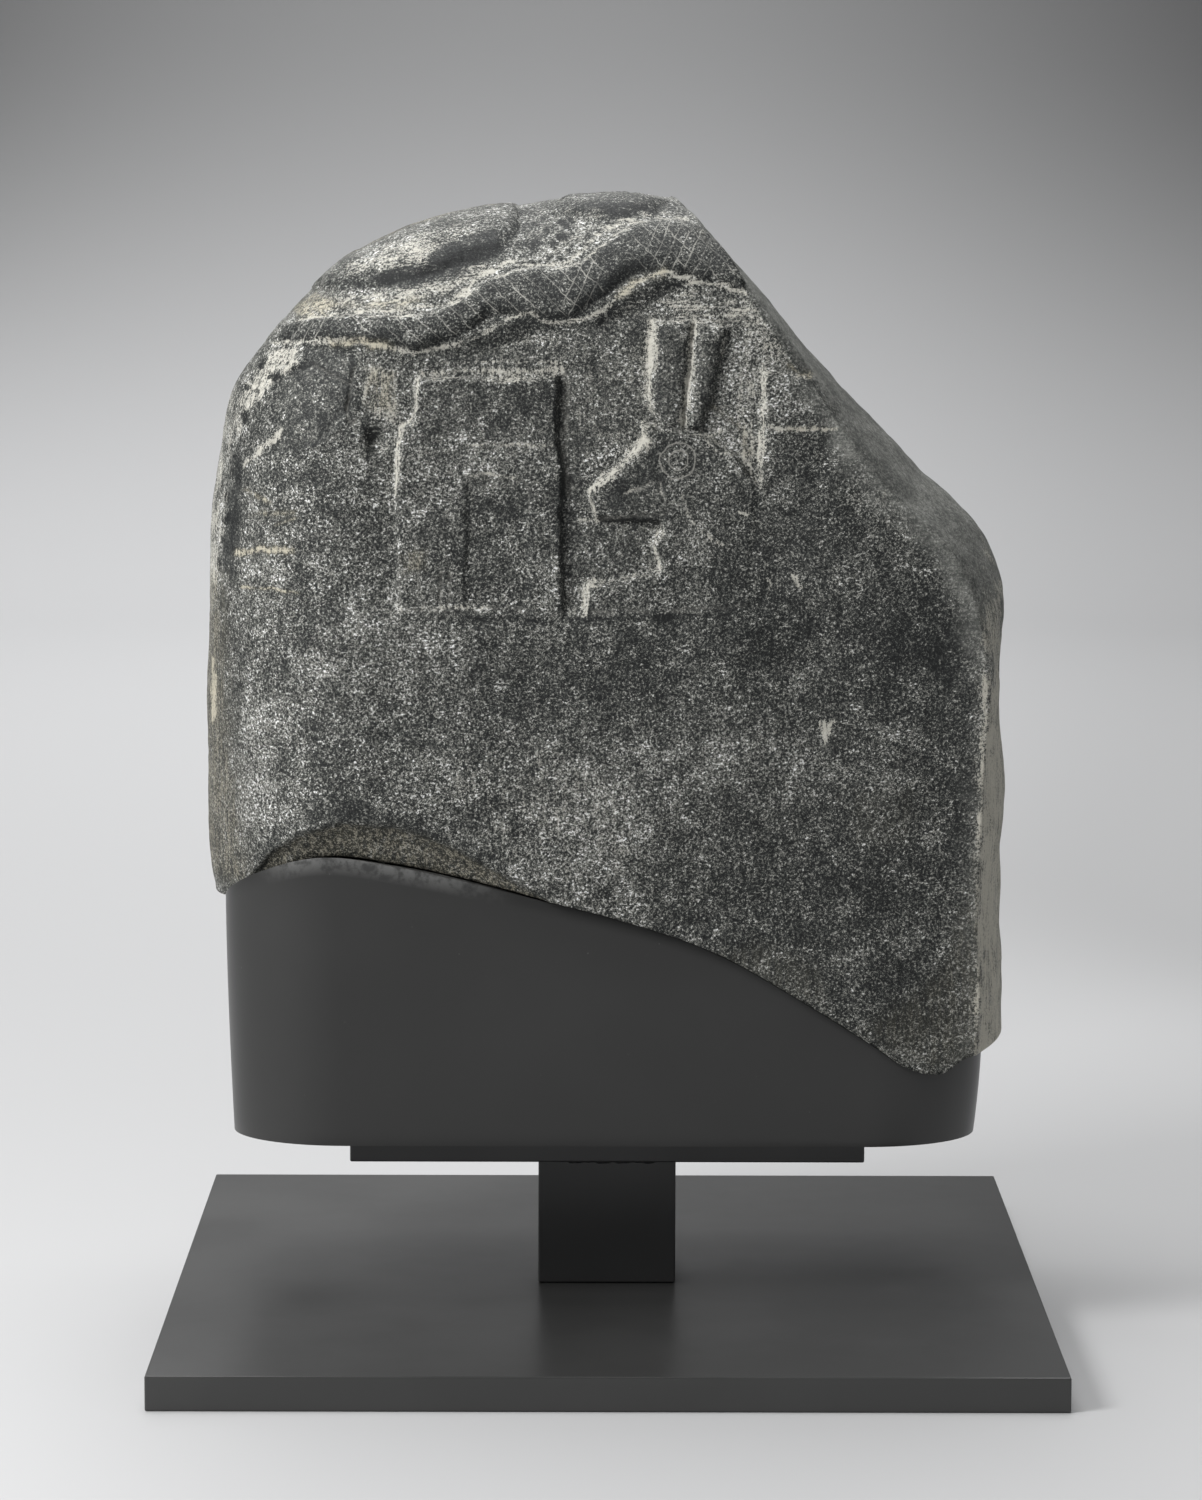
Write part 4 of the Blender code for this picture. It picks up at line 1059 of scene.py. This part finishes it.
stone_mesh = bpy.data.meshes.new("boundary_stone_dressed")
stone_mesh.vertices.add(len(places))
stone_mesh.vertices.foreach_set("co", places.astype(np.float32).ravel())
stone_mesh.loops.add(faces.size)
stone_mesh.loops.foreach_set("vertex_index", faces.astype(np.int32).ravel())
stone_mesh.polygons.add(len(faces))
stone_mesh.polygons.foreach_set("loop_start", np.arange(0, faces.size, 4, dtype=np.int32))
stone_mesh.update(calc_edges=True)
for name, values in traces.items():
    trace = stone_mesh.attributes.new(name, "FLOAT", "POINT")
    trace.data.foreach_set("value", np.clip(values, 0, 3).astype(np.float32))
stone_mesh.validate()
stone = bpy.data.objects.new("boundary_stone_dressed", stone_mesh)
bpy.context.scene.collection.objects.link(stone)
bpy.context.view_layer.objects.active = stone
stone.select_set(True)
thinned = stone.vertex_groups.new(name="thinned")
shown_side = 1 + (normals[:, 1] > SIDE_FACING) - (normals[:, 1] < -SIDE_FACING).astype(int)
for number, weight in enumerate(THINNING):
    thinned.add(np.flatnonzero(shown_side == number).tolist(), weight, "REPLACE")
thin = stone.modifiers.new("fewer facets", "DECIMATE")
thin.vertex_group = thinned.name
thin.ratio = STONE_TRIANGLES / (2 * len(faces))
bpy.ops.object.modifier_apply(modifier=thin.name)
bpy.ops.object.shade_smooth()

# Finish: black and charcoal grains flecked with light grey, a pale film where it is worn and where
# highlight is painted, cream at the edges, olive stains low down, darker grains where deep, which
# includes painted shade, and a matt green-grey on the breaks
GRAIN_TONES = [(0.00, (0.008, 0.009, 0.009)), (0.22, (0.026, 0.028, 0.027)), (0.34, (0.070, 0.073, 0.068)),
               (0.46, (0.152, 0.154, 0.140)), (0.62, (0.335, 0.332, 0.293)), (0.85, (0.650, 0.625, 0.525))]
GRAIN_MIDDLE = 0.352
PALE_FILM = (0.62, 0.60, 0.53)
CREAM = (0.57, 0.53, 0.42)
OLIVE = (0.082, 0.078, 0.058)
BREAK_DARK = (0.112, 0.116, 0.107)
BREAK_LIGHT = (0.330, 0.331, 0.303)
DUST = (0.42, 0.41, 0.37)
EYE = (across(58.4), up(70.0))
EYE_RINGS = (0.0034, 0.0064)
LINE_HALF = 0.00026
FALLING_STROKES = (0.82, 0.0052)
RISING_STROKES = (-0.45, 0.0037)
stone_finish, tree, shader = new_material("charcoal stone")
worn, stained, polished, deeper_and_shaded, snapped, dusty, falling_scales, rising_scales = (
    node(tree, "ShaderNodeAttribute", {"attribute_name": name}).outputs["Fac"]
    for name in traces)


def swing(value, amount, onto):
    """Adds a noise, as its swing round its middle times an amount, onto a value."""
    return calc("MULTIPLY_ADD", calc("SUBTRACT", value, 0.5), amount, onto)


def hatched(turn, pitch, wobble):
    """Thin parallel strokes on the face, turned from upright, a pitch apart and a little uneven."""
    run = calc("ADD", times(spot["X"], math.cos(turn) / pitch), times(spot["Z"], math.sin(turn) / pitch))
    off = calc("ABSOLUTE", calc("SUBTRACT", calc("FRACT", swing(wobble, 0.7, run)), 0.5))
    return between(off, LINE_HALF / pitch, 0.3 * LINE_HALF / pitch)


def ringed(radius, wobble):
    """A thin ring round the animal's eye."""
    squares = [calc("POWER", calc("SUBTRACT", spot[axis], middle), 2.0) for axis, middle in zip("XZ", EYE)]
    away = calc("SQRT", calc("ADD", *squares))
    off = calc("ABSOLUTE", calc("SUBTRACT", away, swing(wobble, 0.0030, radius)))
    on_front = between(spot["Y"], -0.02, -0.03)
    return times(on_front, between(off, 0.00042, 0.00010))


spot = node(tree, "ShaderNodeSeparateXYZ", Vector=node(tree, "ShaderNodeTexCoord").outputs["Object"]).outputs
zones = grown(tree, 0.045)
clouds = grown(tree, 0.0090, detail=2.4, rough=0.8, turn=UNALIGNED)
crystals = grown(tree, 0.00092, detail=2.2, rough=1.0, turn=UNALIGNED)
flecks = grown(tree, 0.00100, detail=1.0, rough=0.6, turn=UNALIGNED)
vertical_streaks = grown(tree, 0.0022, detail=4.0, rough=0.7, stretch=(0.6, 0.8, 5.0), turn=(0, 0.12, 0))
slanting_streaks = grown(tree, 0.0022, detail=4.0, rough=0.7, stretch=(5.0, 1.0, 0.6), turn=(0, 0.40, 0))
scratches = grown(tree, 0.00100, detail=1.0, stretch=(2.8, 1.0, 0.9), turn=(0, 0.5, 0))
on_dome = between(spot["Z"], up(80.0), up(86.0))
streaks = node(tree, "ShaderNodeMix", Factor=on_dome, A=vertical_streaks, B=slanting_streaks).outputs[0]
strokes = calc("MAXIMUM", times(hatched(*FALLING_STROKES, clouds), falling_scales),
               times(hatched(*RISING_STROKES, clouds), rising_scales))
strokes = times(strokes, between(clouds, 0.40, 0.60, 0.22, 0.80))
rings = calc("MAXIMUM", ringed(EYE_RINGS[0], clouds), ringed(EYE_RINGS[1], clouds))
strokes = calc("MAXIMUM", strokes, times(rings, 0.62))

contrast = calc("MULTIPLY_ADD", polished, -1.1, 2.45)
tone = times(calc("SUBTRACT", crystals, 0.5), contrast)
shining = times(between(flecks, 0.58, 0.68), between(clouds, 0.32, 0.66, 0.08, 0.42))
tone = calc("ADD", tone, times(shining, calc("MULTIPLY_ADD", deeper_and_shaded, -0.5, 1.0)))
scratched = times(between(scratches, 0.62, 0.69), between(clouds, 0.40, 0.62, 0.06, 0.30))
tone = calc("ADD", calc("ADD", tone, scratched), GRAIN_MIDDLE)
for value, amount in ((zones, 0.40), (clouds, 0.52), (streaks, 0.34)):
    tone = swing(value, amount, tone)
# Painted light: the pale trace lightens wear and painted highlights, and the deep trace darkens darker stone
# and painted shade.
for value, amount in ((worn, 0.22), (polished, -0.09), (deeper_and_shaded, -0.115)):
    tone = calc("MULTIPLY_ADD", value, amount, tone)
ramp = tree.nodes.new("ShaderNodeValToRGB")
stops = [*ramp.color_ramp.elements, *(ramp.color_ramp.elements.new(0.5) for _ in GRAIN_TONES[2:])]
for stop, (at, colour) in zip(stops, [GRAIN_TONES[0], GRAIN_TONES[-1], *GRAIN_TONES[1:-1]]):
    stop.position = at
    stop.color = (*colour, 1.0)
tree.links.new(tone, ramp.inputs[0])
ground = ramp.outputs[0]
snapped_tone = swing(clouds, 0.7, swing(crystals, 1.2, slanting_streaks))
snapped_ground = blend(between(snapped_tone, 0.25, 0.80), BREAK_DARK, BREAK_LIGHT)
ground = blend(snapped, ground, snapped_ground)
olive_mask = times(between(stained, 0.0, 0.7), between(streaks, 0.35, 0.60, 0.15, 0.68))
ground = blend(olive_mask, ground, OLIVE)
film = swing(crystals, 2.2, swing(streaks, 2.6, worn))
film = times(between(film, 0.30, 0.85), between(worn, 0.05, 0.50))
ground = blend(times(film, 0.88), ground, blend(stained, PALE_FILM, CREAM))
cream = swing(crystals, 2.6, swing(streaks, 1.6, stained))
cream = times(between(cream, 0.45, 0.95), between(stained, 0.2, 0.8))
ground = blend(cream, ground, CREAM)
dust_mask = times(dusty, between(flecks, 0.40, 0.62, 0.30, 0.95))
dust_mask = calc("MAXIMUM", dust_mask, strokes)
tree.links.new(blend(dust_mask, ground, DUST), shader.inputs["Base Color"])
gloss = 0.62
for value, amount in ((polished, -0.16), (snapped, 0.14), (worn, 0.12)):
    gloss = calc("MULTIPLY_ADD", value, amount, gloss)
tree.links.new(gloss, shader.inputs["Roughness"])
shader.inputs["Specular IOR Level"].default_value = 0.33
bump = node(tree, "ShaderNodeBump", Height=crystals, Strength=0.5, Distance=0.0010)
tree.links.new(bump.outputs[0], shader.inputs["Normal"])
stone_mesh.materials.append(stone_finish)
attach(stone, "root")
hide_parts("boundary_stone")
bpy.ops.object.select_all(action="DESELECT")


# Cradle: a welded steel box, drawn in a little towards its foot, whose rim is cut to the stone's
# broken underside. It carries the stone's whole weight and is sprayed like the plates, in a darker copy
# of their paint that stands for shade.
CRADLE_FOOT = 0.0735
CRADLE_LEFT = STONE_LEFT + 0.0090
CRADLE_RIGHT = STONE_LEFT + STONE_WIDTH - 0.0105
CRADLE_HALF_DEPTH = HALF_DEPTH - 0.0035
CRADLE_CORNER_ACROSS = 0.042
CRADLE_CORNER_DEEP = 0.033
CRADLE_TAPER = 0.0024
CRADLE_SIDES = 320
CRADLE_LEVELS = 16
CRADLE_EDGE = 0.0013
CRADLE_COLOUR_SHADED = (0.029, 0.029, 0.028)
CRADLE_WORN = (0.044, 0.044, 0.043)
# Painted highlight on the front of the rim, in a band this deep under the stone
LIP_HIGHLIGHT_COLOUR = (0.18, 0.18, 0.175)
LIP_HIGHLIGHT_DEPTH = (-0.0026, -0.0012)
SEAT_GAP = 0.0008
BED_STEPS = 9
BED_STEP = 0.0066


def even_outline(half_width, half_depth):
    """Points at even distances round a rectangle with elliptical corners, from its right side's middle."""
    corners = []
    middle_x, middle_y = half_width - CRADLE_CORNER_ACROSS, half_depth - CRADLE_CORNER_DEEP
    for side_x, side_y, quarter in ((1, 1, 0), (-1, 1, 1), (-1, -1, 2), (1, -1, 3)):
        for angle in np.linspace(quarter, quarter + 1, 60) * math.pi / 2:
            corners.append((side_x * middle_x + CRADLE_CORNER_ACROSS * math.cos(angle),
                            side_y * middle_y + CRADLE_CORNER_DEEP * math.sin(angle)))
    loop = np.array([(half_width, 0.0), *corners, (half_width, 0.0)])
    run = run_along(loop)
    marks = np.arange(CRADLE_SIDES) / CRADLE_SIDES * run[-1]
    return np.stack([np.interp(marks, run, loop[:, 0]), np.interp(marks, run, loop[:, 1])], axis=-1)


def bed_height(x, y):
    """Height of the cradle's rim and bed, a hair under the stone."""
    return float(underside(np.array([x]), np.array([y]))[0]) - SEAT_GAP


cradle = upright_tube("cradle_dressed", CRADLE_SIDES, 1.0, 1.0, CRADLE_LEVELS, "NGON")
outlines = []
for level in range(CRADLE_LEVELS + 1):
    inset = CRADLE_TAPER * (1 - level / CRADLE_LEVELS) ** 1.6
    outlines.append(even_outline((CRADLE_RIGHT - CRADLE_LEFT) / 2 - inset, CRADLE_HALF_DEPTH - inset))
bpy.ops.object.mode_set(mode="EDIT")
cradle_form = bmesh.from_edit_mesh(cradle.data)
for vert in cradle_form.verts:
    level = round((vert.co.z + 0.5) * CRADLE_LEVELS)
    number = round(math.atan2(vert.co.y, vert.co.x) / math.tau * CRADLE_SIDES) % CRADLE_SIDES
    px, py = outlines[level][number]
    px += (CRADLE_LEFT + CRADLE_RIGHT) / 2
    vert.co = (px, py, CRADLE_FOOT + level / CRADLE_LEVELS * (bed_height(px, py) - CRADLE_FOOT))
bmesh.update_edit_mesh(cradle.data)
bpy.ops.mesh.select_all(action="DESELECT")
cradle_form = bmesh.from_edit_mesh(cradle.data)
lid = max((f for f in cradle_form.faces if len(f.verts) > 4), key=lambda f: f.calc_center_median().z)
lid.select_set(True)
bmesh.update_edit_mesh(cradle.data)
for step in range(BED_STEPS):
    bpy.ops.mesh.inset(thickness=BED_STEP, use_even_offset=False)
    cradle_form = bmesh.from_edit_mesh(cradle.data)
    for vert in cradle_form.verts:
        if vert.select:
            vert.co.z = bed_height(vert.co.x, vert.co.y)
    bmesh.update_edit_mesh(cradle.data)
bpy.ops.mesh.poke()
bpy.ops.mesh.select_all(action="SELECT")
bpy.ops.mesh.normals_make_consistent(inside=False)
bpy.ops.object.mode_set(mode="OBJECT")
rounded = cradle.modifiers.new("rounded edges", "BEVEL")
rounded.width = CRADLE_EDGE
rounded.segments = 3
rounded.angle_limit = math.radians(50)
bpy.ops.object.modifier_apply(modifier=rounded.name)
bpy.ops.object.shade_smooth_by_angle(angle=math.radians(35))
# Painted highlight: the front of the rim, just under the stone and towards the left, is painted light grey
# in patches where it catches the light.
rim_places = np.empty(3 * len(cradle.data.vertices))
cradle.data.vertices.foreach_get("co", rim_places)
px, py, pz = rim_places.reshape(-1, 3).T
lip_highlight = ease(pz - underside(px, py) + SEAT_GAP, *LIP_HIGHLIGHT_DEPTH) * (py < 0)
lip_highlight *= ease_across(px, 7.0, 13.0) * ease_across(px, 40.0, 28.0)
cradle.data.attributes.new("lip_highlight", "FLOAT", "POINT").data.foreach_set("value", lip_highlight.astype(np.float32))
shaded_cradle_paint = satin_paint("dark grey satin paint darkened as shade, on the cradle", CRADLE_COLOUR_SHADED, CRADLE_WORN)
tree = shaded_cradle_paint.node_tree
shader = tree.nodes["Principled BSDF"]
painted = shader.inputs["Base Color"].links[0].from_socket
lip_highlight_mask = node(tree, "ShaderNodeAttribute", {"attribute_name": "lip_highlight"}).outputs["Fac"]
highlight_in_patches = between(grown(tree, 0.004, detail=3.0, rough=0.7), 0.35, 0.60, 0.25, 1.0)
tree.links.new(blend(times(lip_highlight_mask, highlight_in_patches), painted, LIP_HIGHLIGHT_COLOUR), shader.inputs["Base Color"])
cradle.data.materials.append(shaded_cradle_paint)
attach(cradle, "root")
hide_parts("cradle")
